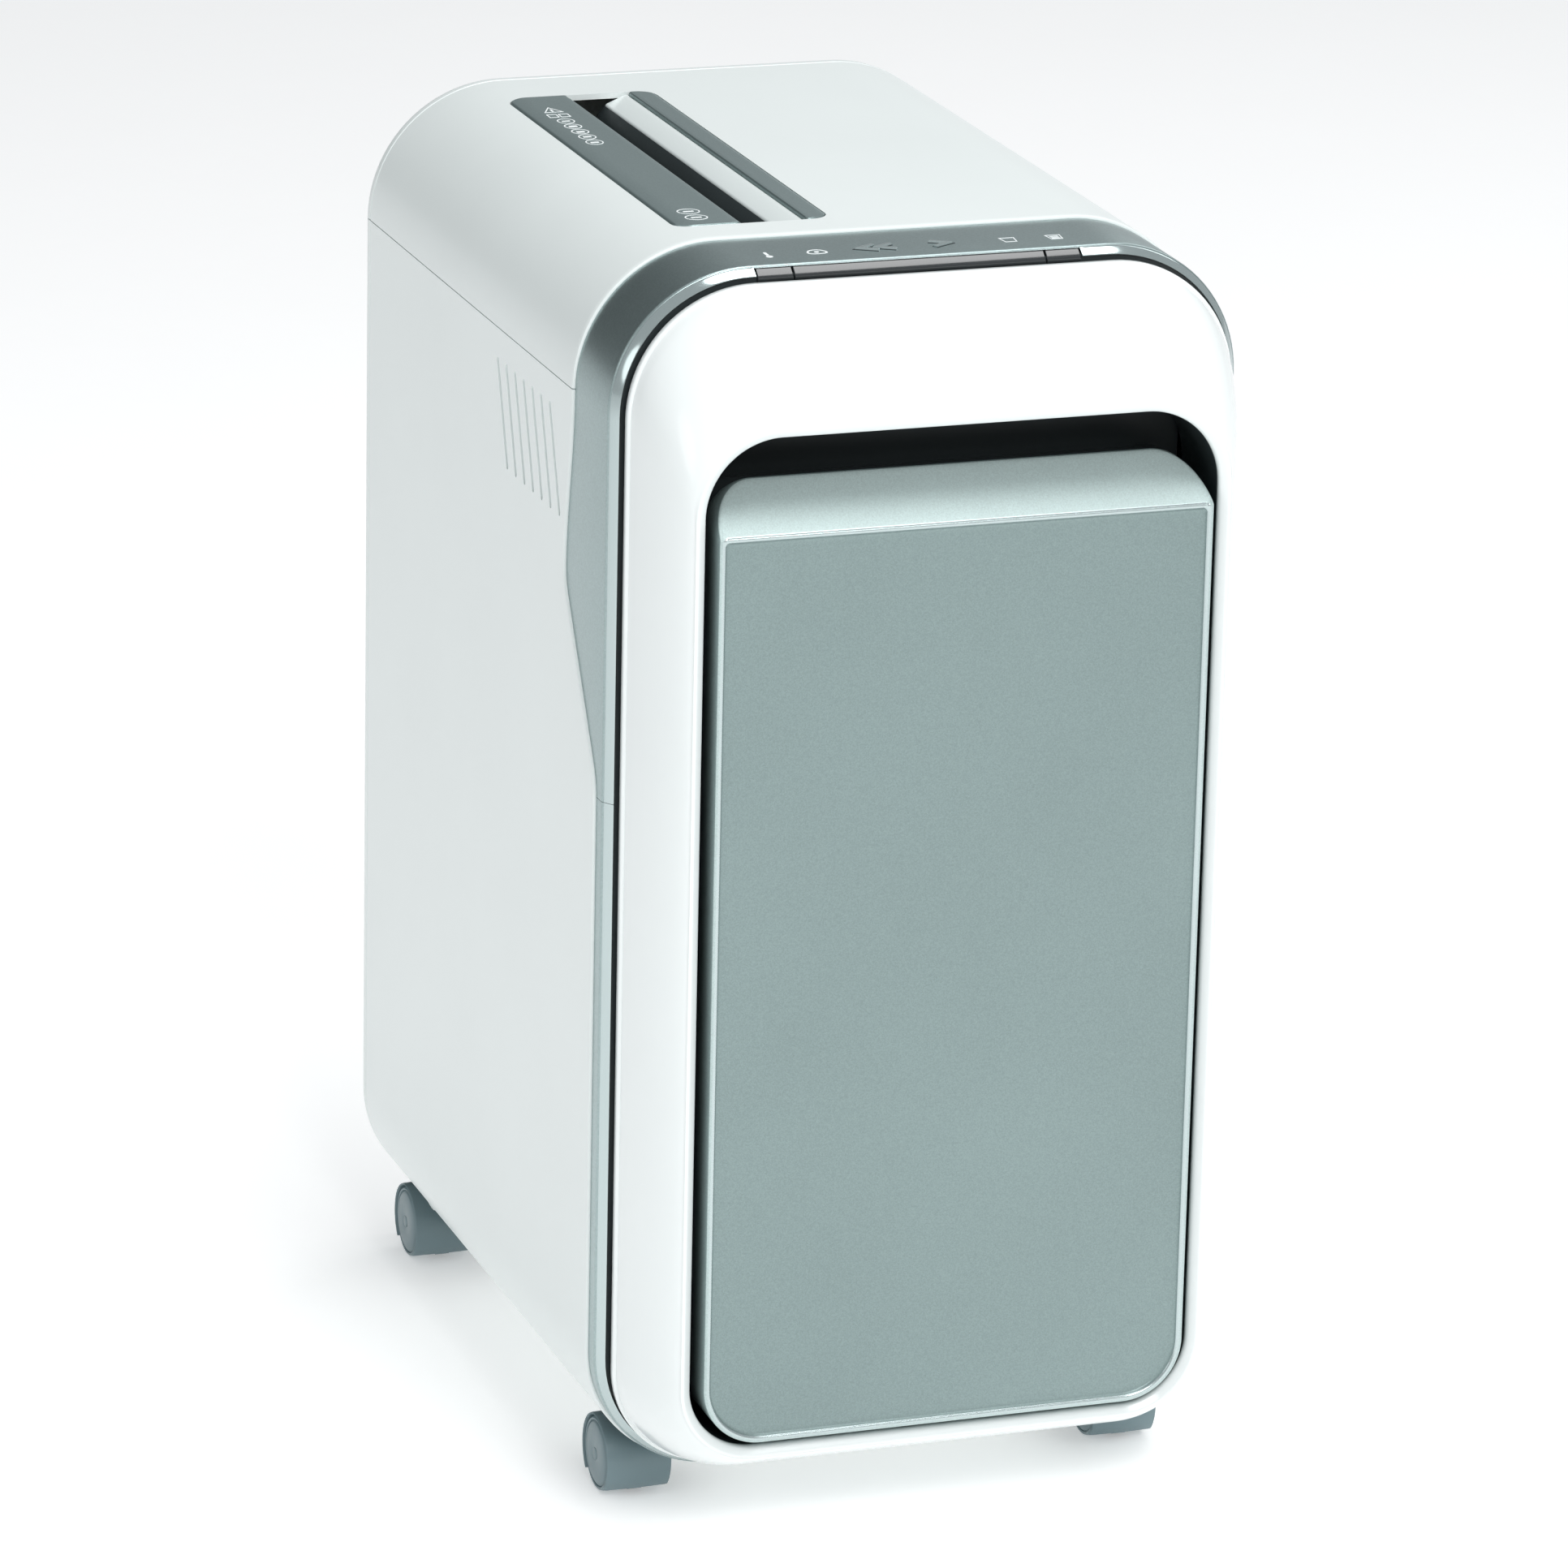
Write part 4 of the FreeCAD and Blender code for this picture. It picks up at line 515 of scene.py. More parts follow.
def make_band():
    """Upper band and lower strip: a flat run, a crisp edge, then a polished chamfer down into the dark
    gap, each a section of (inset, depth) carried along the outline. The chamfer is painted lighter than the
    band's silver as a painted highlight, and the gap is darkened by a charcoal ring as painted shade. The
    smoked status lens lies in the chamfer: its section of (depth, height) is carried along X in three
    lengths with eased ends."""
    flat = [(BAND_INSET + 1.4, ahead(-7)), (BAND_INSET, ahead(-6.5)), (BAND_INSET, STEP_BACK + 1.4),
            (BAND_INSET + 0.15, STEP_BACK + 0.7), (BAND_INSET + 0.6, STEP_BACK + 0.2),
            (BAND_INSET + 0.9, STEP_BACK + 0.1), (BAND_INSET + 1.1, STEP_BACK + 0.3),
            (BAND_INSET + WALL, STEP_BACK + 1.6), (BAND_INSET + WALL, ahead(-6.6)),
            (BAND_INSET + WALL - 0.3, ahead(-7))]
    edge = [(BAND_INSET + 0.7, STEP_BACK + 0.6), (BAND_INSET + 0.8, STEP_BACK - 0.1),
            (BAND_INSET + 1.15, STEP_BACK - 0.6), (4.5, STEP_FRONT + 1.3), (4.9, STEP_FRONT + 1.0),
            (5.2, STEP_FRONT + 1.2), (5.3, STEP_FRONT + 1.8), (5.3, STEP_FRONT + 3.2), (4.0, STEP_BACK + 1.0)]
    window_low, window_high = span("status_window")
    for name, node, part, split in (("band", "upper_trim", "upper", TRIM_FOOT),
                                    ("strip", "lower_trim", "lower", TRIM_SPLIT)):
        piece = shell(name + "_face", flat, part, split, "cabinet", SILVER)
        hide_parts(node)
        # The chamfer's finish is lighter than the band's silver: a painted highlight along the edge.
        chamfer = shell(name + "_chamfer", edge, part, split, "cabinet", POLISHED_PAINTED_HIGHLIGHT)
        if part == "upper":
            loop = rounded_loop(window_low[0] - 0.4, window_high[0] + 0.4, STEP_FRONT - 3,
                                STEP_BACK + 2, 0.3)
            carve(chamfer, [prism("window_hole", loop, "z", TOP - 9, TOP - 2.2)])
    # Charcoal ring set in the gap between the band and the front frame: painted shade, a dark sheet where the
    # gap is only in shadow.
    gap_front, gap_back = STEP_FRONT + 2.6, STEP_FRONT + 9
    painted_shade_gap_section = [(4.6, gap_front), (14.0, gap_front), (14.0, gap_back), (4.6, gap_back)]
    piece = shell("painted_shade_gap_ring", painted_shade_gap_section, "full", 0, "cabinet", CHARCOAL)
    lens = np.array([(STEP_BACK + 0.8, TOP - 2.3), (STEP_BACK - 0.4, TOP - 2.35),
                     (STEP_BACK - 1.0, TOP - 2.8), (STEP_FRONT + 1.2, TOP - 5.1),
                     (STEP_FRONT + 0.9, TOP - 5.6), (STEP_FRONT + 1.0, TOP - 7.0),
                     (STEP_BACK + 0.8, TOP - 7.0)])
    splits = (window_low[0], -59.0, 49.5, window_high[0])
    half_gap, eased = 0.35, 0.6
    for n, (start, end) in enumerate(zip(splits[:-1], splits[1:])):
        stops = ((start + half_gap, half_gap), (start + eased, 0.0), (end - eased, 0.0),
                 (end - half_gap, half_gap))
        rows = [np.column_stack([np.full(len(lens), x), lens[:, 0], lens[:, 1] - drop])
                for x, drop in stops]
        points, faces = solid_grid(np.stack(rows))
        piece = outward(mesh_piece("status_lens_%d" % n, points, faces, "cabinet", SMOKED))
        if n == 0:
            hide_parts("status_window")


# ------------------------------------------------------------------ front frame

WINDOW = (110.0, 47.7, 480.5, 32.0, 28.0)  # half width, foot, head, upper and lower corner radius
RIM = 4.2
BULGE = 1.32


def make_frame():
    """White front frame: from the full outline at the back the face bulges forward and inwards to the
    crest round the window, a narrow rim turns in, and a short reveal ends at a charcoal liner that
    paints the shade in the gap round the bin.

    Each ring is an outline between the full one and the one round the window. Over the face, t runs
    from 0 to 1: the share of the way in is t to the power BULGE, and the share of the way forward is
    1 minus (1 - t) to the same power. The inner wall runs back by the same rule, one wall further in.
    """
    full = (bezel_high[0] - 6.5, bezel_low[2] + 3.6, bezel_high[2] - 3.1, 53.5, 45.0)
    near = (WINDOW[0] + RIM, WINDOW[1] - RIM, WINDOW[2] + RIM, WINDOW[3] + RIM, WINDOW[4] + RIM)

    def between(share, inset):
        """Outline values a share of the way from full to near, then moved in by inset."""
        box = [a + (b - a) * share for a, b in zip(full, near)]
        return [box[0] - inset, box[1] + inset, box[2] - inset, box[3] - inset, box[4] - inset]

    depth = BEZEL_BACK - BEZEL_FRONT
    rings = [(between(0, 0.9), BEZEL_BACK + 0.6), (between(0, 0.3), BEZEL_BACK + 0.5),
             (between(0, 0), BEZEL_BACK), (between(0, 0), BEZEL_BACK - 2.4),
             (between(0, 0.12), BEZEL_BACK - 2.9), (between(0, 0.5), BEZEL_BACK - 3.25),
             (between(0, 1.3), BEZEL_BACK - 3.4)]
    start = BEZEL_BACK - 3.5
    for t in np.linspace(0.05, 0.97, 26):
        share, forward = t ** BULGE, 1 - (1 - t) ** BULGE
        rings.append((between(share, 1.5 * (1 - t)), start - (start - BEZEL_FRONT - 0.5) * forward))
    rings += [(between(1, -0.55), BEZEL_FRONT + 0.35), (between(1, 0.0), BEZEL_FRONT + 0.05),
              (between(1, 0.5), BEZEL_FRONT), (between(1, 1.1), BEZEL_FRONT + 0.3),
              (between(1, RIM - 1.0), BEZEL_FRONT + 1.7), (between(1, RIM - 0.3), BEZEL_FRONT + 2.3),
              (between(1, RIM), BEZEL_FRONT + 3.2), (between(1, RIM), BEZEL_FRONT + 4.4),
              (between(1, RIM - 0.4), BEZEL_FRONT + 5.0), (between(1, RIM - WALL), BEZEL_FRONT + 5.6)]
    for t in (0.8, 0.5, 0.2, 0.06):
        share, forward = t ** BULGE, 1 - (1 - t) ** BULGE
        rings.append((between(share, WALL), start + 2.5 - (depth - 8.0) * forward))
    rings.append((between(0, WALL), BEZEL_BACK + 0.6))
    points = np.stack([at_depth(outline(*box), y) for box, y in rings])
    faces = grid_faces(*points.shape[:2], True, True)
    piece = outward(mesh_piece("front_bezel", points.reshape(-1, 3), faces, "cabinet", FRAME_WHITE, 50))
    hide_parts("front_frame")
    half, low, high, top, foot = WINDOW
    away = 1.6
    box = (half + away, low - away, high + away, top + away, foot + away)
    # Charcoal sleeve behind the window's rim: painted shade, a dark sheet in the gap round the bin where
    # there is only shadow.
    painted_shade_liner = [(0.0, BEZEL_FRONT + 6.4), (0.0, BEZEL_BACK - 1.0), (1.2, BEZEL_BACK - 1.0),
             (1.2, BEZEL_FRONT + 4.6), (0.3, BEZEL_FRONT + 5.4)]
    piece = shell("window_painted_shade_liner", painted_shade_liner, "full", 0, "cabinet", CHARCOAL, box)


# ------------------------------------------------------------------ bin front

def make_bin_front():
    """Bin front: a flat panel inside a raised line, straight flanks and a grip face that slopes back
    above the line. Each ring is an outline whose depth is the crest plus a lift, plus the slope times
    the height above the ridge."""
    w, z0, z1 = front_high[0], front_low[2], front_high[2]
    back = front_high[1]
    crest = front_low[1]
    ridge = z1 - 18.5
    slope = (back - 1.4 - crest) / (z1 - ridge)
    foot_radius = 26

    def ring_at(inset, high, radius, lift):
        """Outline moved in by inset whose top is at high, at the sloping depth."""
        shape = outline(w - inset, z0 + inset, high, radius, foot_radius - inset)
        return at_depth(shape, crest + lift + slope * np.maximum(shape[:, 1] - ridge, 0))

    def flat_at(inset, high, radius, depth):
        """The same outline at one depth."""
        return at_depth(outline(w - inset, z0 + inset, high, radius, foot_radius - inset), depth)

    rows = [
        flat_at(13.0, ridge - 12, 2.0, crest + 4.2), flat_at(8.0, ridge - 5, 2.4, crest + 4.2),
        ring_at(3.2, ridge - 1, 3.0, 4.4), ring_at(3.0, z1 - 5.2, 16.5, 5.2),
        flat_at(2.6, z1 - 3.2, 17.6, back - 0.1),
        flat_at(1.2, z1 - 1.0, 19.0, back), flat_at(0.4, z1 - 0.3, 19.6, back - 0.25),
        flat_at(0.0, z1, 20.0, back - 0.8), ring_at(0.0, z1, 20.0, 0.75), ring_at(0.2, z1 - 0.25, 19.8, 0.3),
        ring_at(0.6, z1 - 0.8, 19.4, 0.04), ring_at(1.0, z1 - 1.4, 19.0, 0.0),
        ring_at(1.1, ridge + 1.6, 3.0, 0.0), ring_at(1.2, ridge + 0.8, 2.6, 0.0),
        ring_at(1.5, ridge + 0.1, 2.4, 0.02), ring_at(2.0, ridge - 0.5, 2.2, 0.0),
        ring_at(2.4, ridge - 1.0, 2.0, 0.15), ring_at(2.8, ridge - 1.6, 1.8, 0.6),
        ring_at(3.1, ridge - 2.1, 1.7, 1.2), ring_at(3.5, ridge - 2.6, 1.6, 1.6),
        ring_at(4.2, ridge - 3.4, 1.5, 1.7), ring_at(6.0, ridge - 5.0, 1.5, 1.7),
        ring_at(13.0, ridge - 12.0, 1.5, 1.7)]
    verts, faces = solid_grid(np.stack(rows))
    piece = outward(mesh_piece("bin_panel", verts, faces, "bin", PANEL, 40))
    piece.data.materials.append(PAINTED_HIGHLIGHT_LINE)
    piece.data.materials.append(GRIP_PAINTED_LIGHT)
    # The faces lie in strips between neighbouring rows: 9 to 12 are the grip, which takes the lighter grip
    # paint as painted light on its shaded slope, and 13 to 16 the raised line, which takes the lighter edge
    # paint as a painted highlight.
    strip_of = np.arange(len(piece.data.polygons)) // len(rows[0])
    raised, grip = (strip_of >= 13) & (strip_of <= 16), (strip_of >= 9) & (strip_of <= 12)
    finish = np.where(raised, 1, 0) + np.where(grip, 2, 0)
    piece.data.polygons.foreach_set("material_index", finish.astype(np.int32))
    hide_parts("bin_front")


# ------------------------------------------------------------------ entry plate and marks

def body_top(x):
    """Height of the casing over x: flat, then a quarter circle, whose height is the root of the top
    radius squared minus the distance past its centre squared."""
    over = np.clip(np.abs(x) - (HALF - TOP_RADIUS), 0, TOP_RADIUS)
    return TOP - TOP_RADIUS + np.sqrt(TOP_RADIUS ** 2 - over ** 2)


LAND_RISE = 0.35  # how far the plate's lands stand above the casing


def make_entry():
    """Entry plate: cross sections of two lands and the throat between them, carried along the depth.
    A land's outer corners are rounded: its run ends short by radius minus the root of (radius squared
    minus d squared), where d is how far the point lies past the corner's centre, towards the edge."""
    left, right = plate_low[0] + PLATE_LAP, plate_high[0] - PLATE_LAP
    front, rear = plate_low[1] + PLATE_LAP, plate_high[1] - PLATE_LAP
    radius = 8.0
    slit_left, slit_right = -53.0, -47.0
    floor = plate_low[2]

    def strip(name, section, under, material, y0, y1, soft_left=False, soft_right=False):
        """Length of plate: top line (x, z) and its underside, with rounded outer corners."""
        section, under = np.array(section, float), np.array(under, float)
        loop = np.concatenate([section, under[::-1]])
        x = loop[:, 0]
        short = np.zeros(len(x))
        if soft_left:
            d = np.clip(radius - (x - left), 0, radius)
            short = radius - np.sqrt(radius ** 2 - d ** 2)
        if soft_right:
            d = np.clip(radius - (right - x), 0, radius)
            short = np.maximum(short, radius - np.sqrt(radius ** 2 - d ** 2))
        rows = []
        edge = 0.5
        for inset, drop in ((0.0, 0.9), (0.12, 0.4), (edge, 0.0)):
            row = np.stack([x, y0 + short + inset, loop[:, 1]], 1)
            row[:len(section), 2] -= drop
            rows.append(row)
        length = y1 - y0 - 2 * short - 2 * edge
        for t in np.linspace(0.02, 0.98, 30):
            rows.append(np.stack([x, y0 + short + edge + t * length, loop[:, 1]], 1))
        for inset, drop in ((edge, 0.0), (0.12, 0.4), (0.0, 0.9)):
            row = np.stack([x, y1 - short - inset, loop[:, 1]], 1)
            row[:len(section), 2] -= drop
            rows.append(row)
        points, faces = solid_grid(np.stack(rows))
        return outward(mesh_piece(name, points, faces, "cabinet", material, 40))

    land_x = np.concatenate([[left, left + 0.15, left + 0.5, left + 1.0], np.linspace(left + 1.6, -60.2, 16),
                             [-59.4, -59.1, -59.0]])
    land_z = body_top(land_x) + LAND_RISE
    land_z[:3] -= (0.9, 0.45, 0.12)
    land_z[-3:] -= (0.1, 0.5, 1.2)
    land = strip("entry_land_left", np.column_stack([land_x, land_z]),
                 np.column_stack([land_x, land_z * 0 + TOP - 5]), ENTRY, front, rear, soft_left=True)
    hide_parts("entry_plate")

    right_x = np.concatenate([[-30.0, -29.9, -29.6], np.linspace(-28.8, right - 1.2, 8),
                              [right - 0.5, right - 0.15, right]])
    right_z = body_top(right_x) + LAND_RISE
    right_z[:3] -= (1.2, 0.5, 0.1)
    right_z[-3:] -= (0.12, 0.45, 0.9)
    piece = strip("entry_land_right", np.column_stack([right_x, right_z]),
                  np.column_stack([right_x, right_z * 0 + TOP - 5]), ENTRY, front, rear, soft_right=True)

    wall_left = [(-58.9, TOP - 1.8), (-58.2, TOP - 2.2), (-56.6, TOP - 4.0), (-55.6, TOP - 12),
                 (slit_left, floor)]
    under_left = [(-59.0, TOP - 5), (-60.0, TOP - 6), (-60.0, TOP - 8), (-58.5, TOP - 14),
                  (slit_left - WALL, floor)]
    lip_top = [(-58.4, TOP - 1.5), (-58.2, TOP - 1.1), (-57.2, TOP - 1.2), (-56.8, TOP - 1.7),
               (-56.7, TOP - 2.6)]
    lip_under = [(x, TOP - 3.4) for x, _ in lip_top]
    piece = strip("throat_lip", lip_top, lip_under, SILVER, front + 0.2, rear - 0.2)
    piece = strip("throat_wall_left", wall_left, under_left, CHARCOAL, front, rear)
    wall_right = [(slit_right, floor), (slit_right + 0.4, TOP - 14), (-44.4, TOP - 9), (-42.2, TOP - 6.4),
                  (-41.2, TOP - 5.4)]
    under_right = [(slit_right + WALL, floor), (slit_right + WALL, TOP - 16), (-42.6, TOP - 13),
                   (-41.6, TOP - 11), (-41.0, TOP - 10)]
    piece = strip("throat_wall_right", wall_right, under_right, CHARCOAL, front, rear)
    guide = [(-41.1, TOP - 5.5), (-40.9, TOP - 4.8), (-40.2, TOP - 4.3), (-33.4, TOP - 1.5),
             (-32.0, TOP - 1.0), (-31.0, TOP - 1.1), (-30.6, TOP - 1.8)]
    under = [(x, z - 2.4) for x, z in guide]
    piece = strip("pale_guide", guide, under, PALE, front + 0.3, rear - 0.3)
    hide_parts("guide_strip")


def stroke_loop(points, width):
    """Loop round an open polyline: each side is the line moved by half the width along its mitre."""
    p = np.asarray(points, float)
    d = np.diff(p, axis=0)
    d /= np.linalg.norm(d, axis=1)[:, None]
    n = np.stack([-d[:, 1], d[:, 0]], 1)
    mitre = np.concatenate([n[:1], (n[:-1] + n[1:]), n[-1:]])
    mitre /= np.maximum(np.sum(mitre * np.concatenate([n[:1], n[1:], n[-1:]]), axis=1), 0.3)[:, None]
    return np.concatenate([p + mitre * width / 2, (p - mitre * width / 2)[::-1]])


def circle_loop(x, y, radius, count=20):
    """Circle as an (n, 2) loop: centre plus radius times (cos a, sin a)."""
    turn = np.linspace(0, 2 * np.pi, count, endpoint=False)
    return np.stack([x + radius * np.cos(turn), y + radius * np.sin(turn)], 1)


def ring_mark(name, outer, inner, z0, z1, material):
    """Thin printed outline between two loops of the same length."""
    rows = np.stack([at_height(loop, z) for loop, z in ((outer, z0), (outer, z1), (inner, z1), (inner, z0))])
    faces = grid_faces(*rows.shape[:2], True, True)
    return outward(mesh_piece(name, rows.reshape(-1, 3), faces, "cabinet", material))


def make_marks():
    """Chevron keys, indicator symbols on the band and plain pictogram shapes on the entry plate. The
    shield's outline is a sine and cosine loop with its flanks drawn down by the sine's third power."""
    key_y = -129.0
    face = TOP - BAND_INSET
    half_long, half_wide = 3.6, 4.2
    for node, body, centres, way in (("reverse_button", "reverse_key", (-21.0, -13.4), -1),
                                     ("forward_button", "forward_key", (10.3,), 1)):
        for n, x in enumerate(centres):
            arm = [(x - way * half_long, key_y + half_wide), (x + way * half_long, key_y),
                   (x - way * half_long, key_y - half_wide)]
            # Wider charcoal stroke just under each chevron's top: a painted shadow round the raised mark. The
            # chevron on top takes the lighter edge paint as a painted highlight.
            painted_shadow_outline = plaque("%s_border_%d" % (body, n), stroke_loop(arm, 3.0), face - 1.2, face + 0.22, 0.1,
                            body, CHARCOAL)
            piece = plaque("%s_chevron_%d" % (body, n), stroke_loop(arm, 1.9), face - 1.2, face + 0.95, 0.4,
                           body, PAINTED_HIGHLIGHT_LINE)
            if n == 0:
                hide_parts(node)
    low, high = face - 0.3, face + 0.12

    def solid_mark(name, loop):
        """Printed shape that fills the loop."""
        plaque(name, loop, low, high, 0.05, "cabinet", PRINT)

    def open_mark(name, outer, inner):
        """Printed line between two loops."""
        ring_mark(name, outer, inner, low, high, PRINT)

    def drawn_in(loop, centre, share):
        """The loop shrunk towards a centre to a share of its size."""
        return centre + (loop - centre) * share

    bulb_x, shield_x = -64.0, -43.0
    solid_mark("mark_bulb", circle_loop(bulb_x, key_y - 2.8, 1.5))
    solid_mark("mark_stem", rounded_loop(bulb_x - 0.7, bulb_x + 0.7, key_y - 2.0, key_y + 4.2, 0.65, 4))
    turn = np.linspace(0, 2 * np.pi, 28, endpoint=False)
    shield = np.stack([shield_x + 4.4 * np.sin(turn),
                       key_y + 3.6 * np.cos(turn) - 1.2 * np.abs(np.sin(turn)) ** 3], 1)
    open_mark("mark_shield", shield, drawn_in(shield, np.array([shield_x, key_y]), 0.8))
    solid_mark("mark_drop", circle_loop(shield_x, key_y - 0.2, 1.1))
    for n, x in enumerate((40.0, 60.0)):
        outer = np.array([(x - 3.4, key_y + 3.2), (x + 3.4, key_y + 3.2), (x + 2.6, key_y - 3.6),
                          (x - 2.6, key_y - 3.6)])
        open_mark("mark_bin_%d" % n, outer, drawn_in(outer, outer.mean(0), 0.84))
        if n:
            for k in range(3):
                solid_mark("mark_fill_%d" % k, rounded_loop(x - 1.9, x + 1.9, key_y - 2.6 + k * 1.6,
                                                            key_y - 1.9 + k * 1.6, 0.3, 3))
    column_x = -74.0
    plate_face = body_top(np.array([column_x]))[0] + LAND_RISE
    low, high = plate_face - 0.3, plate_face + 0.1
    circle = circle_loop(0, 0, 1.0, 28)
    for n, y in enumerate(np.linspace(110, 69.5, 5)):
        open_mark("pictogram_ring_%d" % n, circle * (3.9, 4.5) + (column_x, y),
                  circle * (3.35, 3.9) + (column_x, y))
        solid_mark("pictogram_bar_%d" % n, rounded_loop(column_x - 1.9, column_x + 1.9,
                   y - 0.7 - 0.5 * (n % 3), y + 0.7 + 0.5 * (n % 2), 0.4, 3))
    tri = np.array([(column_x - 4.4, 127.0), (column_x + 4.4, 127.0), (column_x, 136.5)])
    open_mark("pictogram_triangle", tri, drawn_in(tri, tri.mean(0), 0.8))
    solid_mark("pictogram_point", rounded_loop(column_x - 0.5, column_x + 0.5, 128.6, 132.6, 0.3, 3))
    for n, x in enumerate((column_x - 2.6, column_x + 2.6)):
        loop = rounded_loop(x - 2.3, x + 2.3, 117.5, 123.5, 0.5, 3)
        open_mark("pictogram_page_%d" % n, loop, drawn_in(loop, np.array([x, 120.5]), 0.76))
    for n, y in enumerate((-57.5, -68.0)):
        open_mark("pictogram_oval_%d" % n, circle * (4.9, 4.3) + (column_x, y),
                  circle * (4.35, 3.75) + (column_x, y))
        solid_mark("pictogram_dash_%d" % n, rounded_loop(column_x - 2.4, column_x + 2.4, y - 0.7, y + 0.7,
                                                         0.5, 3))
    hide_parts("indicator_lights")


# ------------------------------------------------------------------ casters

def turned(profile, centre, angles, name, body, material, closed=True):
    """Surface turned about the X axis: each (x, r) of the profile goes to centre plus r times
    (cos a, sin a) in y and z. A part turn is capped at both ends."""
    p = np.asarray(profile, float)
    a = np.radians(angles)[:, None]
    points = np.stack([np.broadcast_to(centre[0] + p[:, 0], (len(a), len(p))),
                       centre[1] + p[:, 1] * np.cos(a), centre[2] + p[:, 1] * np.sin(a)], -1)
    if closed:
        verts, faces = points.reshape(-1, 3), grid_faces(len(a), len(p), True, True)
    else:
        verts, faces = solid_grid(points)
    return outward(mesh_piece(name, verts, faces, body, material, 40))


def make_casters():
    """Twin-wheel casters: a barrel hood that is open below, a web between the wheels, two domed wheels
    with their pin caps, all turned about the wheels' axis, and a pale post turned about its own.
    Each profile is a list of (x, radius), and the post's is a list of (radius, height)."""
    for name in CASTERS:
        low, high = span(name + "_wheels")
        cx, cy, cz = (low + high) / 2
        reach = (high[0] - low[0]) / 2
        radius = (high[2] - low[2]) / 2
        out, inn = radius + 1.7, radius + 0.6
        barrel = [(-reach + 0.6, inn), (-reach - 0.2, inn + 0.3), (-reach - 0.45, (out + inn) / 2),
                  (-reach - 0.2, out - 0.2), (-reach + 0.7, out), (0, out + 0.25), (reach - 0.7, out),
                  (reach + 0.2, out - 0.2), (reach + 0.45, (out + inn) / 2), (reach + 0.2, inn + 0.3),
                  (reach - 0.6, inn), (0, inn)]
        hood = turned(barrel, (cx, cy, cz), np.linspace(-42, 222, 67), name + "_hood", name + "_swivel",
                      CASTER, False)
        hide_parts(name + "_yoke")
        web = [(-3.2, 2.0), (-3.2, inn + 0.4), (3.2, inn + 0.4), (3.2, 2.0)]
        piece = turned(web, (cx, cy, cz), np.linspace(-52, 232, 72), name + "_web", name + "_swivel",
                       CASTER, False)
        for side in (-1, 1):
            r = radius
            x1 = side * (reach + 0.1)  # outer face of the wheel
            x0 = side * (reach - 9.9)  # inner face
            disc = [(x0, 2.6), (x0, r - 1.2), (x0 + side * 0.4, r - 0.4), (x0 + side * 1.3, r),
                    (x1 - side * 1.8, r), (x1 - side * 0.8, r - 0.3), (x1 - side * 0.3, r - 0.9),
                    (x1 - side * 0.5, r - 1.5), (x1 - side * 1.1, r - 1.8), (x1 - side * 0.6, r - 2.2),
                    (x1, r - 3.2), (x1 + side * 0.35, r - 7), (x1 + side * 0.45, 3.4),
                    (x1 + side * 0.2, 2.7)]
            wheel = turned(disc, (cx, cy, cz), np.arange(0, 360, 5), "%s_wheel_%s" % (name, "ab"[side > 0]),
                           name + "_wheel_pair", CASTER)
            if side < 0:
                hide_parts(name + "_wheels")
            pin = [(x1 - side * 1.0, 0.0), (x1 - side * 1.0, 2.68), (x1 + side * 0.3, 2.66),
                   (x1 + side * 0.5, 2.2), (x1 + side * 0.55, 0.0)]
            cap = turned(pin, (cx, cy, cz), np.arange(0, 360, 12), "%s_cap_%s" % (name, "ab"[side > 0]),
                         name + "_wheel_pair", CASTER)
        turn = np.radians(np.arange(0, 360, 8))
        rows = [np.stack([cx + r * np.cos(turn), post_y(name) + r * np.sin(turn), np.full(len(turn), z)], 1)
                for r, z in ((7.6, 41.7), (7.6, 35), (7.9, 31), (8.6, 27), (8.6, 26))]
        points, faces = solid_grid(np.stack(rows))
        stem = outward(mesh_piece(name + "_stem", points, faces, name + "_swivel", WHITE))


# ------------------------------------------------------------------ floor, light and camera

FLOOR_REACH = 12  # metres
DARK_SIDE = (-0.306, 0.898, 0.316)  # direction of the darker part of the surroundings, behind and left


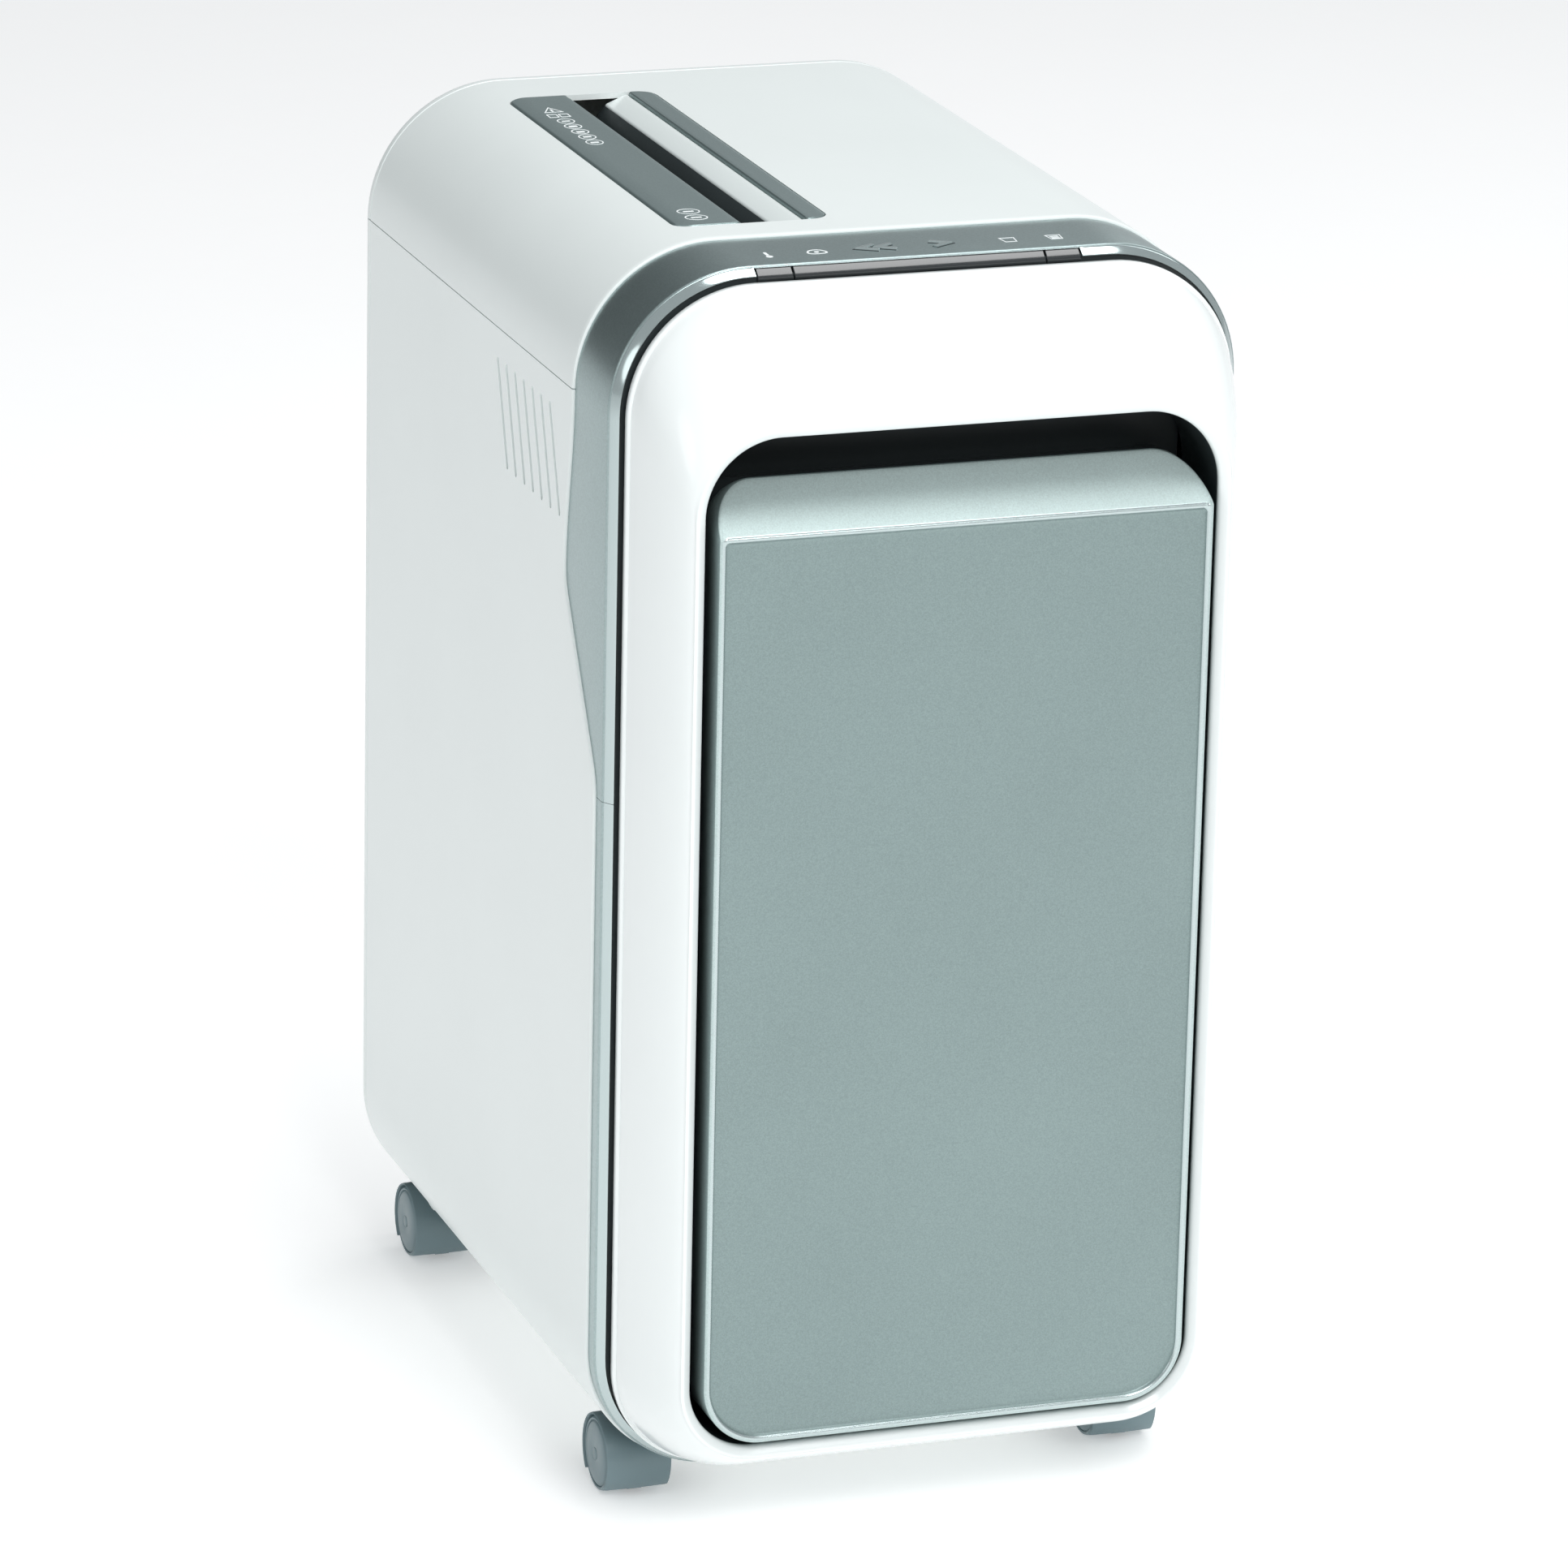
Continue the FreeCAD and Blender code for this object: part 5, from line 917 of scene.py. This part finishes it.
def make_stage():
    """Flat pale floor with a slight glow of its own, soft lights, and the camera. The surroundings are
    pale and grow darker near DARK_SIDE, by the dot product of that direction with the one looked in."""
    side = np.linspace(-FLOOR_REACH, FLOOR_REACH, 3)
    x, y = np.meshgrid(side, side, indexing="ij")
    points = np.stack([x, y, 0 * x], -1)
    mesh = bpy.data.meshes.new("floor")
    mesh.from_pydata(points.reshape(-1, 3).tolist(), [], grid_faces(3, 3))
    floor = bpy.data.objects.new("floor", mesh)
    bpy.context.scene.collection.objects.link(floor)
    paper = plastic("floor_paper", (0.93, 0.93, 0.93), 0.85, grain=60, bump=0.02, mottle=0.004)
    shader = paper.node_tree.nodes["Principled BSDF"]
    shader.inputs["Emission Color"].default_value = (1, 1, 1, 1)
    shader.inputs["Emission Strength"].default_value = 0.32
    mesh.materials.append(paper)

    world = bpy.data.worlds.new("studio")
    bpy.context.scene.world = world
    world.use_nodes = True
    sky = world.node_tree
    place = sky.nodes.new("ShaderNodeTexCoord")
    toward = sky.nodes.new("ShaderNodeVectorMath")
    toward.operation = "DOT_PRODUCT"
    toward.inputs[1].default_value = DARK_SIDE
    shade = sky.nodes.new("ShaderNodeValToRGB")
    shade.color_ramp.elements[0].position = 0.72
    shade.color_ramp.elements[1].position = 0.97
    shade.color_ramp.elements[0].color = (0.95, 0.98, 1.0, 1)
    shade.color_ramp.elements[1].color = (0.10, 0.11, 0.115, 1)
    sky.links.new(place.outputs["Generated"], toward.inputs[0])
    sky.links.new(toward.outputs["Value"], shade.inputs["Fac"])
    sky.links.new(shade.outputs["Color"], sky.nodes["Background"].inputs["Color"])
    sky.nodes["Background"].inputs["Strength"].default_value = 0.50
    aim = Vector((0, 0, 0.3))
    for name, place, size, power in (("key", (0.1, -2.4, 2.1), 1.5, 40.0),
                                     ("left", (-2.4, -0.9, 1.2), 1.0, 3.5),
                                     ("top", (0.3, -0.2, 2.4), 1.3, 17.0),
                                     ("back", (1.9, 1.7, 2.1), 1.4, 9.0)):
        lamp = bpy.data.lights.new(name, "AREA")
        lamp.shape = "DISK"
        lamp.size = size
        lamp.energy = power
        item = bpy.data.objects.new(name, lamp)
        bpy.context.scene.collection.objects.link(item)
        item.location = place
        item.rotation_mode = "QUATERNION"
        item.rotation_quaternion = (aim - Vector(place)).to_track_quat("-Z", "Y")

    azimuth, elevation, roll = map(math.radians, (-19.36, 17.86, 1.26))
    distance = 3.435
    back = Vector((math.sin(azimuth) * math.cos(elevation), -math.cos(azimuth) * math.cos(elevation),
                   math.sin(elevation)))
    right = Vector((math.cos(azimuth), math.sin(azimuth), 0))
    up = back.cross(right)
    tilted_right = right * math.cos(roll) + up * math.sin(roll)
    tilted_up = up * math.cos(roll) - right * math.sin(roll)
    lens = bpy.data.cameras.new("camera")
    lens.lens = 182.8
    lens.sensor_width = 36
    lens.clip_end = 50
    camera = bpy.data.objects.new("camera", lens)
    bpy.context.scene.collection.objects.link(camera)
    target = Vector((-0.00583, 0.002, 0.2684))
    turn = Matrix((tilted_right, tilted_up, back)).transposed().to_4x4()
    camera.matrix_world = Matrix.Translation(target + back * distance) @ turn
    bpy.context.scene.camera = camera
    bpy.context.scene.view_settings.view_transform = "Standard"


make_casing()
make_back()
make_band()
make_frame()
make_bin_front()
make_entry()
make_marks()
make_casters()
make_stage()
